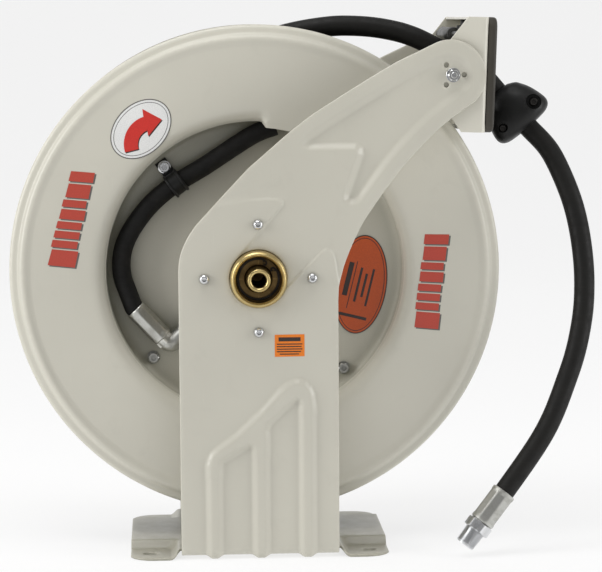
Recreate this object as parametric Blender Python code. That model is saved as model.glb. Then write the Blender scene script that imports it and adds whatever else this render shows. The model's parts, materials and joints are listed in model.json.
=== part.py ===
"""Dual-arm spring-rewind hose reel: stamped steel base and arms, a spun drum with
a spring motor, a brass swivel inlet, a tilting roller guide and a hose with its
ball stop and end fitting.

World frame: +Z up, the drum axis runs along Y above the origin, -Y is the front
(the swivel side) and +X is the side the hose leaves from. The origin is the middle
of the underside of the base's raised platform. Everything is drawn in millimetres
with heights above the floor, is turned into metres by MM, and the last lines
lower the whole reel so that the feet stand PLATFORM below the origin.
"""

import math
from functools import partial

import bmesh
import bpy
from mathutils import Matrix, Vector
from mathutils.geometry import tessellate_polygon

for old in list(bpy.data.objects):
    bpy.data.objects.remove(old, do_unlink=True)

MM = 0.001

# -------------------------------------------------------- shared dimensions
AXIS_Z = 271.0  # drum axis above the floor
HUB = (0, 0, AXIS_Z)
HUB_XZ = (0, AXIS_Z)
X_AXIS = (1, 0, 0)
Y_AXIS = (0, 1, 0)
Z_AXIS = (0, 0, 1)
GAP = 0.3  # assembly gap between touching pieces

SHEET = 2.5  # base and arm plate
PLATFORM = 7.5  # how far the middle of the base stands above its feet
ARM_FACE = 98.0  # outer face of each arm from the mid-plane
ARM_INSIDE = ARM_FACE - SHEET - GAP  # where pieces seated inside an arm start

SWIVEL_R = 27.0
SHAFT_R = 12.0
PIVOT = (186.5, 462.0)  # guide head pivot, x and z
HEAD_LEAN = 2.0  # degrees the guide head leans outwards at rest
HOSE_R = 10.0

# colour, roughness, metallic
FINISH = {
    "paint": ((0.55, 0.53, 0.46), 0.45, 0.0),
    "zinc": ((0.62, 0.63, 0.64), 0.3, 1.0),
    "steel": ((0.35, 0.35, 0.36), 0.35, 1.0),
    "brass": ((0.60, 0.42, 0.16), 0.28, 1.0),
    "hose": ((0.012, 0.012, 0.011), 0.6, 0.0),
    "plastic": ((0.03, 0.03, 0.028), 0.5, 0.0),
    "nylon": ((0.75, 0.73, 0.66), 0.5, 0.0),
    "spring": ((0.12, 0.13, 0.16), 0.3, 1.0),
}


# ------------------------------------------------------------------ objects
def finish_material(name, finish):
    colour, roughness, metallic = FINISH[finish]
    made = bpy.data.materials.new(name)
    made.use_nodes = True
    shader = made.node_tree.nodes["Principled BSDF"]
    shader.inputs["Base Color"].default_value = (*colour, 1.0)
    shader.inputs["Roughness"].default_value = roughness
    shader.inputs["Metallic"].default_value = metallic
    return made


def empty(name, at, lean=0.0, parent=None):
    made = bpy.data.objects.new(name, None)
    made.parent = parent
    made.location = Vector(at) * MM
    made.rotation_euler = (0.0, math.radians(lean), 0.0)
    bpy.context.scene.collection.objects.link(made)
    return made


def mesh_object(name, shape, parent, origin):
    """An object from (points, faces). Under a parent, origin is where the parent stands."""
    points, faces = shape
    mesh = bpy.data.meshes.new(name)
    base = Vector(origin)
    mesh.from_pydata([(Vector(p) - base) * MM for p in points], [], faces)
    mesh.validate()
    bm = bmesh.new()
    bm.from_mesh(mesh)
    bmesh.ops.recalc_face_normals(bm, faces=bm.faces)
    bm.to_mesh(mesh)
    bm.free()
    made = bpy.data.objects.new(name, mesh)
    bpy.context.scene.collection.objects.link(made)
    if parent is None:
        made.location = base * MM
    else:
        made.parent = parent
    return made


def place(name, shape, finish, sharp=40.0, parent=None, origin=(0, 0, 0)):
    """A piece of the reel, smooth shaded except at edges steeper than sharp degrees."""
    made = mesh_object(name, shape, parent, origin)
    made.data.materials.append(finish_material(name, finish))
    made.data.shade_smooth()
    made.data.set_sharp_from_angle(angle=math.radians(sharp))
    return made


def helper(name, shape, parent=None, origin=(0, 0, 0)):
    """A cutter or an operand, left out of the part."""
    made = mesh_object(name, shape, parent, origin)
    made.hide_render = True
    made.display_type = "WIRE"
    return made


def combine(target, tool, operation):
    modifier = target.modifiers.new(tool.name, "BOOLEAN")
    modifier.operation = operation
    modifier.solver = "EXACT"
    modifier.object = tool


# ------------------------------------------------------------ flat outlines
def polar(centre, radius, angle):
    turn = math.radians(angle)
    return centre[0] + radius * math.cos(turn), centre[1] + radius * math.sin(turn)


def around_hub(radius, angle):
    """The (x, z) point at a radius and an angle in degrees about the drum axis."""
    return polar(HUB_XZ, radius, angle)


def arc(centre, radius, first, last, count):
    return [polar(centre, radius, first + (last - first) * k / count) for k in range(count + 1)]


def circle(centre, radius, count):
    turns = [2 * math.pi * k / count for k in range(count)]
    return [
        (centre[0] + radius * math.cos(turn), centre[1] + radius * math.sin(turn))
        for turn in turns
    ]


def rectangle(left, right, low, high):
    return [(left, low), (right, low), (right, high), (left, high)]


def rounded(left, right, low, high, radius):
    """A rectangle with round corners."""
    left, right, low, high = left + radius, right - radius, low + radius, high - radius
    return (
        arc((right, high), radius, 0, 90, 3)
        + arc((left, high), radius, 90, 180, 3)
        + arc((left, low), radius, 180, 270, 3)
        + arc((right, low), radius, 270, 360, 3)
    )


def smooth_path(knots, per):
    """Catmull-Rom curve through the knots, with per steps between neighbours."""
    knots = [Vector(knot) for knot in knots]
    full = [2 * knots[0] - knots[1]] + knots + [2 * knots[-1] - knots[-2]]
    path = []
    for a, b, c, d in zip(full, full[1:], full[2:], full[3:]):
        for k in range(per):
            t = k / per
            linear = (c - a) * t
            square = (2 * a - 5 * b + 4 * c - d) * t**2
            cubic = (3 * b - a - 3 * c + d) * t**3
            path.append(0.5 * (2 * b + linear + square + cubic))
    path.append(knots[-1])
    return path


# Where a prism's outline lies: two outline coordinates, then the extrusion height.
def in_xz(x, z, height):
    return Vector((x, height, z))


def in_yz(y, z, height):
    return Vector((height, y, z))


def in_xy(x, y, height):
    return Vector((x, y, height))


# ------------------------------------------------------------------- solids
def prism(outline, holes, world, low, high):
    """A flat plate: outline and holes are loops, world(*point, height) places a point."""
    loops = [outline] + list(holes)
    flat = [p for loop in loops for p in loop]
    count = len(flat)
    triangles = tessellate_polygon([[Vector((*p, 0)) for p in loop] for loop in loops])
    points = [world(*p, low) for p in flat] + [world(*p, high) for p in flat]
    faces = [tuple(t) for t in triangles]
    faces += [tuple(i + count for i in reversed(t)) for t in triangles]
    start = 0
    for loop in loops:
        for k in range(len(loop)):
            i, j = start + k, start + (k + 1) % len(loop)
            faces.append((i, j, j + count, i + count))
        start += len(loop)
    return points, faces


def skin(rings, closed=False):
    """Join neighbouring rings of points with faces. A ring of one point is a pole."""
    points, numbers = [], []
    for ring in rings:
        numbers.append(range(len(points), len(points) + len(ring)))
        points += ring
    pairs = list(zip(numbers, numbers[1:]))
    if closed:
        pairs.append((numbers[-1], numbers[0]))
    faces = []
    count = max(len(ring) for ring in rings)
    for first, second in pairs:
        for k in range(count):
            n = (k + 1) % count
            if len(first) == 1:
                faces.append((first[0], second[k], second[n]))
            elif len(second) == 1:
                faces.append((first[k], first[n], second[0]))
            else:
                faces.append((first[k], first[n], second[n], second[k]))
    return points, faces


def basis(axis):
    """Two directions square to the axis, then the axis itself, all of unit length."""
    along = Vector(axis).normalized()
    upright = Vector(Z_AXIS if abs(along.z) < 0.9 else X_AXIS)
    side = (upright - along * along.dot(upright)).normalized()
    return side, along.cross(side), along


def ring_points(centre, side, up, radius, count):
    turns = [2 * math.pi * k / count for k in range(count)]
    return [
        centre + side * (radius * math.cos(turn)) + up * (radius * math.sin(turn))
        for turn in turns
    ]


def revolve(profile, at=HUB, axis=Y_AXIS, segments=24, closed=False):
    """Turn (distance along the axis, radius) about the axis.

    An open profile starts and ends on the axis.
    """
    side, up, along = basis(axis)
    rings = []
    for distance, radius in profile:
        centre = Vector(at) + along * distance
        if radius == 0:
            rings.append([centre])
        else:
            rings.append(ring_points(centre, side, up, radius, segments))
    return skin(rings, closed)


def rod(low, high, radius):
    """Open profile of a plain cylinder."""
    return [(low, 0), (low, radius), (high, radius), (high, 0)]


def tube(low, high, inner, outer):
    """Closed profile of a plain tube."""
    return [(low, inner), (low, outer), (high, outer), (high, inner)]


def stack(sections, at, axis):
    """Loft 12-point sections (distance, radius, "round" or "hex") and cap both ends."""
    side, up, along = basis(axis)
    at = Vector(at)
    rings = []
    for distance, radius, kind in sections:
        ring = []
        for k in range(12):
            turn = math.pi * k / 6
            reach = radius * (math.cos(math.pi / 6) if kind == "hex" and k % 2 else 1.0)
            across = side * (reach * math.cos(turn))
            ring.append(at + along * distance + across + up * (reach * math.sin(turn)))
        rings.append(ring)
    points, faces = skin(rings)
    faces.append(tuple(range(12)))
    faces.append(tuple(range(len(points) - 12, len(points))))
    return points, faces


def sweep(path, radius, segments=12, round_start=False):
    """A round bar along path with mitred rings.

    A round start is a half ball centred on the path's first point.
    """
    path = [Vector(p) for p in path]
    headings = [(b - a).normalized() for a, b in zip(path, path[1:])]
    first, last = headings[0], headings[-1]
    side = (Vector(Y_AXIS) - first * first.dot(Vector(Y_AXIS))).normalized()

    def ring(centre, heading, radius):
        return ring_points(centre, side, heading.cross(side), radius, segments)

    if round_start:
        rings = [[path[0] - first * radius]]
        for angle in (75, 50, 25):
            turn = math.radians(angle)
            centre = path[0] - first * (radius * math.sin(turn))
            rings.append(ring(centre, first, radius * math.cos(turn)))
    else:
        rings = [[path[0]]]
    rings.append(ring(path[0], first, radius))
    for centre, before, after in zip(path[1:], headings, headings[1:]):
        side = (side - before * side.dot(before)).normalized()
        mitre = (before + after).normalized()
        rings.append([
            centre + offset - before * (offset.dot(mitre) / before.dot(mitre))
            for offset in ring(Vector(), before, radius)
        ])
        side = (before.rotation_difference(after) @ side).normalized()
    side = (side - last * side.dot(last)).normalized()
    rings += [ring(path[-1], last, radius), [path[-1]]]
    return skin(rings)


# --------------------------------------------------------------------- base
# Grid columns: distance from the middle, how far the front and rear edges step in there.
BASE_COLUMNS = [(125, 14), (116, 4), (105, 0), (86, 0), (78, 7.5)]
BASE_HALF_Y = 101
BASE_ROWS = [-BASE_HALF_Y, -58, -50, 50, 58, BASE_HALF_Y]
FOOT_X, FOOT_Y = 86, 58  # inner corner of each foot

SLOT_AT = (106.0, 79.0)
SLOT_R = 4.5
SLOT_LENGTH = 14.0
BASE_BOLTS = [(x, y) for y in (-78.0, 78.0) for x in (-48.0, 48.0)]
BASE_HOLE_R = 4.2
BOLT_SEAT = PLATFORM + SHEET + GAP
# Height, radius and kind: hex head below, round nut and cap above.
BASE_BOLT_SECTIONS = [
    (0.7, 6.0, "hex"), (4.4, 6.0, "hex"), (4.4, 3.8, "round"), (BOLT_SEAT, 3.8, "round"),
    (BOLT_SEAT, 7.5, "round"), (11.9, 6.6, "round"), (12.9, 3.6, "round"),
]


def base_shape():
    """Sheet with four feet pressed down from a raised platform, thickened downwards."""
    columns = [(-x, trim) for x, trim in BASE_COLUMNS] + BASE_COLUMNS[::-1]
    points = []
    for lift in (SHEET, 0.0):
        for y in BASE_ROWS:
            for x, trim in columns:
                edge = math.copysign(abs(y) - (trim if abs(y) == BASE_HALF_Y else 0), y)
                height = 0.0 if abs(x) >= FOOT_X and abs(y) >= FOOT_Y else PLATFORM
                points.append(Vector((x, edge, height + lift)))
    wide, deep = len(columns), len(BASE_ROWS)
    lower = wide * deep
    faces = []
    for j in range(deep - 1):
        for i in range(wide - 1):
            corner = j * wide + i
            quad = (corner, corner + 1, corner + wide + 1, corner + wide)
            faces.append(quad)
            faces.append(tuple(k + lower for k in reversed(quad)))
    rim = (
        list(range(wide))
        + [j * wide + wide - 1 for j in range(1, deep)]
        + [(deep - 1) * wide + i for i in range(wide - 2, -1, -1)]
        + [j * wide for j in range(deep - 2, 0, -1)]
    )
    for a, b in zip(rim, rim[1:] + rim[:1]):
        faces.append((a, b, b + lower, a + lower))
    return points, faces


def slot_outline(side_x, side_y):
    x, y = side_x * SLOT_AT[0], side_y * SLOT_AT[1]
    half = SLOT_LENGTH / 2 - SLOT_R
    right = arc((x + half, y), SLOT_R, -90, 90, 6)
    return right + arc((x - half, y), SLOT_R, 90, 270, 6)


def build_base():
    """Base plate with its slots and bolt holes. Returns the hole cutters."""
    base_plate = place("base_plate", base_shape(), "paint", sharp=20.0)
    for side_x in (-1, 1):
        for side_y in (-1, 1):
            outline = slot_outline(side_x, side_y)
            slot = helper(f"slot_{side_x}_{side_y}", prism(outline, [], in_xy, -5, 12))
            combine(base_plate, slot, "DIFFERENCE")
    holes = []
    for index, (x, y) in enumerate(BASE_BOLTS, 1):
        shape = revolve(rod(-2, 14, BASE_HOLE_R), (x, y, 0), Z_AXIS, 12)
        holes.append(helper(f"base_hole_{index}", shape))
        combine(base_plate, holes[-1], "DIFFERENCE")
    return holes


# --------------------------------------------------------------------- arms
ARM_HALF = 76.0  # half width of the pedestal
ARM_BEND = PLATFORM - GAP + SHEET  # where the bend starts, the flange lies under the platform
ARM_FLANGE = 30.0
BEND_STEPS = 4
ARM_END = (183.6, 461.6)  # centre of the arm's round end
ARM_END_R = 34.0
HUB_SCREW_R = 51.5  # radius of the screw circle
HUB_SCREWS = [around_hub(HUB_SCREW_R, angle) for angle in (0, 90, 180, 270)]

# Knots of the arm's edges, x and z.
ARM_LEFT = [
    (-76, 262), (-75.6, 284), (-71.5, 301), (-62, 318), (-47.6, 334.6), (-9, 375.5),
]
ARM_UPPER = [(-9, 375.5), (39.7, 416.9), (75, 440.5), (126, 471.3), (156.3, 486.2)]
ARM_LOWER = [
    (185.5, 422.1), (167.2, 406.5), (138.2, 375.7), (106.8, 333.4), (93.5, 310.3),
    (82.5, 284), (76.6, 262),
]
# The guide head's pivot hole and three small holes round it.
END_HOLES = [circle(PIVOT, 3.5, 12)]
END_HOLES += [circle(polar(PIVOT, 10.5, angle), 2.6, 10) for angle in (0, 120, 240)]


def arm_outline():
    """Parallel-sided pedestal that sweeps over into a tapering arm with a round end."""
    left, upper, lower = (
        [tuple(p) for p in smooth_path(knots, 3)] for knots in (ARM_LEFT, ARM_UPPER, ARM_LOWER)
    )
    return (
        [(-ARM_HALF, ARM_BEND)]
        + left[:-1]
        + upper
        + arc(ARM_END, ARM_END_R, 114, -46, 14)
        + lower
        + [(ARM_HALF, 250.0), (ARM_HALF, ARM_BEND)]
    )


def arm_shape(side, holes):
    """An arm whose foot flange bends inwards. side is -1 for the front, 1 for the rear."""
    points, faces = prism(arm_outline(), holes, in_xz, -ARM_FACE, -ARM_FACE + SHEET)
    bm = bmesh.new()
    verts = [bm.verts.new(p) for p in points]
    for face in faces:
        bm.faces.new([verts[i] for i in face])
    bm.normal_update()
    foot = [f for f in bm.faces if all(abs(v.co.z - ARM_BEND) < 1e-4 for v in f.verts)]
    centre = Vector((0, -ARM_FACE + 2 * SHEET, ARM_BEND))
    turn = Matrix.Rotation(math.radians(90 / BEND_STEPS), 3, "X")
    for step in range(BEND_STEPS + 1):
        grown = bmesh.ops.extrude_face_region(bm, geom=foot)["geom"]
        bmesh.ops.delete(bm, geom=foot, context="FACES_ONLY")
        moved = [g for g in grown if isinstance(g, bmesh.types.BMVert)]
        foot = [g for g in grown if isinstance(g, bmesh.types.BMFace)]
        if step < BEND_STEPS:
            bmesh.ops.rotate(bm, cent=centre, matrix=turn, verts=moved)
        else:
            bmesh.ops.translate(bm, vec=Vector((0, ARM_FLANGE, 0)), verts=moved)
    bm.verts.index_update()
    points = [Vector((v.co.x, -side * v.co.y, v.co.z)) for v in bm.verts]
    faces = [tuple(v.index for v in f.verts) for f in bm.faces]
    bm.free()
    return points, faces


def build_arms(base_holes):
    front_holes = [circle(HUB_XZ, SWIVEL_R + 0.6, 32)]
    front_holes += [circle(screw, 3.4, 10) for screw in HUB_SCREWS]
    rear_holes = [circle(HUB_XZ, SHAFT_R + 0.6, 32)]
    front = place("front_arm", arm_shape(-1, front_holes + END_HOLES), "paint", sharp=30.0)
    rear = place("rear_arm", arm_shape(1, rear_holes + END_HOLES), "paint", sharp=30.0)
    for index, ((x, y), hole) in enumerate(zip(BASE_BOLTS, base_holes), 1):
        combine(front if y < 0 else rear, hole, "DIFFERENCE")
        bolt = stack(BASE_BOLT_SECTIONS, (x, y, 0), Z_AXIS)
        place(f"base_bolt_{index}", bolt, "zinc", origin=(x, y, 0))


# ------------------------------------------------------------- hub carriers
HUB_PLATE_T = 4
SHAFT_NUT_T = 9
SCREW_SEAT = -ARM_FACE - GAP

# Profiles are (y, radius).
HUB_SCREW_PROFILE = [
    (-103.0, 0), (-102.6, 2.6), (-100.9, 4.4), (SCREW_SEAT, 5.0), (SCREW_SEAT, 3.0),
    (-88.0, 3.0), (-88.0, 0),
]
FRONT_BUSHING_PROFILE = [
    (-95.0, 27.4), (-95.0, 30.9), (-90.9, 30.9), (-90.9, 36.0),
    (-88.4, 36.0), (-88.4, 30.9), (-83.0, 30.9), (-83.0, 27.4),
]
MAIN_SHAFT_PROFILE = [
    (3, 0), (3, 11.2), (4, SHAFT_R), (111, SHAFT_R), (112.5, 10.8), (112.5, 0),
]


def build_hub_carriers():
    at_hub = partial(place, origin=HUB)
    front_holes = [circle(HUB_XZ, 31.2, 32)]
    front_holes += [circle(screw, 3.3, 10) for screw in HUB_SCREWS]
    front_plate = prism(
        circle(HUB_XZ, 63, 32), front_holes, in_xz, -ARM_INSIDE, -ARM_INSIDE + HUB_PLATE_T
    )
    at_hub("front_hub_plate", front_plate, "paint")
    rear_plate = prism(
        circle(HUB_XZ, 55, 28), [circle(HUB_XZ, SHAFT_R + 0.4, 24)],
        in_xz, ARM_INSIDE - HUB_PLATE_T, ARM_INSIDE,
    )
    at_hub("rear_hub_plate", rear_plate, "paint")
    for index, (x, z) in enumerate(HUB_SCREWS, 1):
        screw = revolve(HUB_SCREW_PROFILE, (x, 0, z), segments=12)
        place(f"hub_screw_{index}", screw, "zinc", origin=(x, -ARM_FACE, z))
    bushing = revolve(FRONT_BUSHING_PROFILE, segments=32, closed=True)
    at_hub("front_bushing", bushing, "nylon")
    at_hub("main_shaft", revolve(MAIN_SHAFT_PROFILE), "steel")
    nut = prism(
        circle(HUB_XZ, 20, 6), [circle(HUB_XZ, SHAFT_R + 0.35, 24)],
        in_xz, ARM_FACE + GAP, ARM_FACE + GAP + SHAFT_NUT_T,
    )
    at_hub("shaft_nut", nut, "zinc", sharp=20.0)


# --------------------------------------------------------------------- drum
FRONT_DISC = -34.0  # outer faces of the two discs, y
REAR_DISC = 47.5
DISC_T = 1.5
# Rolled rim shared by both discs: radius, depth inwards from the outer face.
RIM = [
    (221.0, 0.0), (226.5, -2.0), (231.6, 2.4), (238.6, 4.1), (240.0, 7.7),
    (238.0, 7.0), (231.0, 4.0), (226.5, -0.4), (221.0, DISC_T),
]
# Edges of the openings, in the same columns: outer side and inner side.
MOUTH_R = 150.0  # opening of the front disc
MOUTH_OUTSIDE = [(MOUTH_R - 0.2, 9.0), (MOUTH_R, 3.5), (MOUTH_R + 4.0, 0.0)]
MOUTH_INSIDE = [(MOUTH_R + 4.2, DISC_T), (MOUTH_R + 1.4, 4.0), (MOUTH_R + 1.3, 9.0)]
REAR_OPENING_R = 20.5
LIP_R = 140.3  # inner edge of the hose lip

BARREL_INNER_R = 146.3
BARREL_OUTER_R = 148.3
BARREL_FRONT = -24.6
BARREL_REAR = REAR_DISC - DISC_T - GAP
COVER_T = 2
COVER_R = 138.5
WEB_FRONT = COVER_T + GAP  # inward ring of the barrel behind the spring cover
WEB_REAR = 4.6
WEB_R = 124.0
BARREL_PROFILE = [
    (BARREL_FRONT, BARREL_INNER_R), (BARREL_FRONT, BARREL_OUTER_R),
    (BARREL_REAR, BARREL_OUTER_R), (BARREL_REAR, BARREL_INNER_R),
    (WEB_REAR, BARREL_INNER_R), (WEB_REAR, WEB_R),
    (WEB_FRONT, WEB_R), (WEB_FRONT, BARREL_INNER_R),
]
COVER_SCREWS = [around_hub(134.0, angle) for angle in (41.0, 131.0, 221.0, 311.0)]
CLAMP_SCREW = 2  # number of the screw that also holds the hose clamp

REAR_HUB_PROFILE = [
    (36, 16.2), (36, 20.0), (47.8, 20.0), (47.8, 38.0),
    (50.8, 38.0), (50.8, 20.0), (75, 20.0), (75, 16.2),
]
RATCHET_TEETH = 12
RATCHET_START = 76.6  # angle of the first tooth's root
RATCHET_TOOTH = [(0.0, 34.0), (12.0, 38.0), (24.0, 42.0)]  # angle from the root, radius

SPRING_TURNS = 5
SPRING_STEPS = 20  # per turn
SPRING_INNER_R = 24.0
SPRING_PITCH = 22.0
SPRING_T = 1.2
SPRING_Y = (9.0, 39.0)

COIL_TURNS = 4
COIL_Y = (-30.5, 44.5)
COIL_INNER_R = 152.6
COIL_VALLEY_R = 201.0
COIL_CREST_R = 207.0

drum = empty("drum_axis", HUB)
drum_part = partial(place, parent=drum, origin=HUB)
drum_helper = partial(helper, parent=drum, origin=HUB)


def disc_shape(face, outward, outside, inside):
    """outward is the y sign of the outer face; outside and inside edge the opening."""
    profile = [(face - outward * depth, r) for r, depth in outside + RIM + inside]
    return revolve(profile, segments=56, closed=True)


def lip_outline():
    """A sector that narrows the front disc's opening."""
    outer = [around_hub(MOUTH_R + 6, angle) for angle in range(54, 88, 4)]
    end = [around_hub(148.0, 87.2), around_hub(141.5, 86.0), around_hub(LIP_R, 84.5)]
    return outer + end + [around_hub(LIP_R, angle) for angle in range(82, 53, -4)]


def build_discs():
    shape = disc_shape(FRONT_DISC, -1, MOUTH_OUTSIDE, MOUTH_INSIDE)
    front_disc = drum_part("front_disc", shape, "paint")
    lip = drum_helper("hose_lip", prism(lip_outline(), [], in_xz, -33.9, -32.6))
    combine(front_disc, lip, "UNION")
    shape = disc_shape(REAR_DISC, 1, [(REAR_OPENING_R, 0.0)], [(REAR_OPENING_R, DISC_T)])
    drum_part("rear_disc", shape, "paint")


def cover_screw_shape(x, z, seat):
    """A flanged hex screw whose flange rests at y = seat."""
    sections = [
        (seat - 4.2, 3.6, "round"), (seat - 4.0, 5.2, "hex"), (seat - 1.2, 5.2, "hex"),
        (seat - 1.2, 6.2, "round"), (seat, 6.2, "round"), (seat, 2.9, "round"),
        (5.6, 2.9, "round"),
    ]
    return stack(sections, (x, 0, z), Y_AXIS)


def build_barrel():
    """Barrel, spring cover and cover screws. Returns the barrel."""
    barrel = drum_part(
        "drum_barrel", revolve(BARREL_PROFILE, segments=48, closed=True), "paint"
    )
    for index, (x, z) in enumerate(COVER_SCREWS, 1):
        shape = revolve(rod(0.5, 6, 3.2), (x, 0, z), segments=10)
        combine(barrel, drum_helper(f"cover_hole_{index}", shape), "DIFFERENCE")
    holes = [circle(HUB_XZ, 10, 16)] + [circle(screw, 3.2, 10) for screw in COVER_SCREWS]
    cover = prism(circle(HUB_XZ, COVER_R, 48), holes, in_xz, 0, COVER_T)
    drum_part("spring_cover", cover, "paint")
    for index, (x, z) in enumerate(COVER_SCREWS, 1):
        seat = -3.0 if index == CLAMP_SCREW else -GAP
        drum_part(f"cover_screw_{index}", cover_screw_shape(x, z, seat), "zinc")
    return barrel


def spiral_spring():
    """A flat strip wound outwards from the shaft."""
    points, faces = [], []
    count = SPRING_TURNS * SPRING_STEPS + 1
    for k in range(count):
        turn = 2 * math.pi * k / SPRING_STEPS
        inner = SPRING_INNER_R + SPRING_PITCH * k / SPRING_STEPS
        for r in (inner, inner + SPRING_T):
            for y in SPRING_Y:
                points.append(Vector((r * math.cos(turn), y, AXIS_Z + r * math.sin(turn))))
    for k in range(count - 1):
        a, b = 4 * k, 4 * k + 4
        faces += [(a, b, b + 1, a + 1), (a + 2, a + 3, b + 3, b + 2)]
        faces += [(a, a + 2, b + 2, b), (a + 1, b + 1, b + 3, a + 3)]
    end = 4 * count - 4
    faces += [(0, 1, 3, 2), (end, end + 2, end + 3, end + 1)]
    return points, faces


def ratchet_outline():
    return [
        around_hub(radius, RATCHET_START + 360.0 / RATCHET_TEETH * k + offset)
        for k in range(RATCHET_TEETH)
        for offset, radius in RATCHET_TOOTH
    ]


def coil_profile():
    """The wound hose, with its turns side by side on the outside."""
    low, high = COIL_Y
    pitch = (high - low) / COIL_TURNS
    loop = [(low, COIL_INNER_R)]
    for k in range(4 * COIL_TURNS + 1):
        bulge = (COIL_CREST_R - COIL_VALLEY_R) * math.sin(math.pi * (k % 4) / 4)
        loop.append((low + pitch * k / 4, COIL_VALLEY_R + bulge))
    loop.append((high, COIL_INNER_R))
    return loop


def build_drum_inside():
    drum_part("power_spring", spiral_spring(), "spring", sharp=20.0)
    drum_part("rear_hub", revolve(REAR_HUB_PROFILE, closed=True), "steel")
    bushing = revolve(tube(38, 76, SHAFT_R + 0.3, 15.9), closed=True)
    drum_part("rear_bushing", bushing, "nylon")
    ratchet = prism(ratchet_outline(), [circle(HUB_XZ, 20.4, 24)], in_xz, 62, 68)
    drum_part("ratchet_wheel", ratchet, "steel", sharp=20.0)
    drum_part("hose_coil", revolve(coil_profile(), segments=40, closed=True), "hose")


# ------------------------------------------------------------------- swivel
# Profiles are (y, radius).
SWIVEL_PROFILE = [
    (-GAP, 0), (-GAP, 26.0), (-29.0, 26.0), (-31.0, 19.0), (-81.0, 19.0),
    (-82.0, SWIVEL_R), (-108.5, SWIVEL_R), (-111.0, 26.0), (-112.0, 25.2), (-112.0, 21.6),
    (-111.0, 20.8), (-92.0, 20.8), (-92.0, 13.0), (-60.0, 13.0), (-60.0, 0),
]
INLET_PROFILE = [
    (-60.5, 0), (-60.5, 12.6), (-90.0, 12.6), (-97.0, 12.6), (-104.0, 12.2),
    (-115.6, 11.2), (-117.6, 10.6), (-118.5, 9.2), (-118.5, 7.4), (-116.5, 6.3),
    (-64.0, 6.3), (-64.0, 0),
]
CIRCLIP_OUTER_R = 20.4
CIRCLIP_INNER_R = 18.4
EYELET_AT_R = 17.6
EYELET_R = 2.6


def circlip_outline():
    """An open ring with a solid round ear at each end."""
    return (
        arc(HUB_XZ, CIRCLIP_OUTER_R, 62, 378, 28)
        + arc(around_hub(EYELET_AT_R, 386), EYELET_R, 26, 206, 4)
        + arc(HUB_XZ, CIRCLIP_INNER_R, 378, 62, 28)
        + arc(around_hub(EYELET_AT_R, 54), EYELET_R, 234, 414, 4)
    )


def build_swivel():
    drum_part("swivel_body", revolve(SWIVEL_PROFILE, segments=32), "brass")
    washer = revolve(tube(-99.6, -98.0, 13.2, 20.4), segments=32, closed=True)
    drum_part("retaining_washer", washer, "steel")
    circlip = prism(circlip_outline(), [], in_xz, -101.4, -100.2)
    drum_part("circlip", circlip, "steel", sharp=30.0)
    inlet = empty("inlet_axis", HUB)
    place("inlet_stem", revolve(INLET_PROFILE), "brass", parent=inlet, origin=HUB)


# --------------------------------------------------------- outlet and clamp
PIGTAIL_Y = -12.5
PIGTAIL_R = 9.25
ELBOW = Vector((-84.0, PIGTAIL_Y, 196.5))
TO_HUB = Vector((0.748, 0.0, 0.664)).normalized()
TO_HOSE = Vector((-0.687, 0.0, 0.727)).normalized()
HUB_LEG = 20.0  # elbow legs from its corner
HOSE_LEG = 10.6
FITTING_GAP = 0.4
PIPE_START = 26.6  # from the drum axis
FERRULE_START = ELBOW + TO_HOSE * (HOSE_LEG + FITTING_GAP)
# Distance from the ferrule's start, radius.
PIGTAIL_FERRULE = [(0, 9.5), (0, 10.3), (37.5, 10.3), (39.0, 9.9), (39.0, 9.5)]
# Knots of the short hose from the ferrule to the barrel, x and z.
PIGTAIL_KNOTS = [
    (-125.2, 249.5), (-130.4, 264.9), (-131.2, 281.8), (-127.3, 298.8), (-116.8, 317.6),
    (-99.8, 338.2), (-76.6, 356.6), (-49.1, 372.8), (-14.5, 395.2), (3.6, 405.6),
    (19.0, 411.2),
]
# The barrel's hole follows the end of that hose.
PORT_KNOTS = [(-30, 386), (-8, 399.5), *PIGTAIL_KNOTS[-2:], (48, 416.0)]

CLAMP_ALONG = Vector((-0.808, 0, -0.588)).normalized()  # along the hose
CLAMP_OUT = Vector((-0.588, 0, 0.808)).normalized()  # from the hose to the screw
CLAMP_REACH = 19.2
CLAMP_BAND_R = 12.3
CLAMP_BORE_R = 9.95
CLAMP_TAB = 10.1  # front face of the tab, from the band's centre
CLAMP_TAB_END = 26.0
CLAMP_HALF = 6.5


def build_outlet(barrel):
    pipe_start = Vector((0, PIGTAIL_Y, AXIS_Z)) - TO_HUB * PIPE_START
    pipe = sweep([pipe_start, ELBOW + TO_HUB * (HUB_LEG + FITTING_GAP)], 7.6)
    drum_part("outlet_pipe", pipe, "zinc")
    elbow = sweep([ELBOW + TO_HUB * HUB_LEG, ELBOW, ELBOW + TO_HOSE * HOSE_LEG], 9.0)
    drum_part("outlet_elbow", elbow, "zinc", sharp=30.0)
    ferrule = revolve(PIGTAIL_FERRULE, FERRULE_START, TO_HOSE, 16, closed=True)
    drum_part("pigtail_ferrule", ferrule, "zinc")
    knots = [FERRULE_START + TO_HOSE * 41.0]
    knots += [(x, PIGTAIL_Y, z) for x, z in PIGTAIL_KNOTS]
    path = [FERRULE_START + TO_HOSE * 2.0] + smooth_path(knots, 2)
    drum_part("pigtail_hose", sweep(path, PIGTAIL_R), "hose")
    port_path = [(x, PIGTAIL_Y, z) for x, z in PORT_KNOTS]
    port = drum_helper("barrel_port", sweep(port_path, PIGTAIL_R + 1.2, 16))
    combine(barrel, port, "DIFFERENCE")


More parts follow.
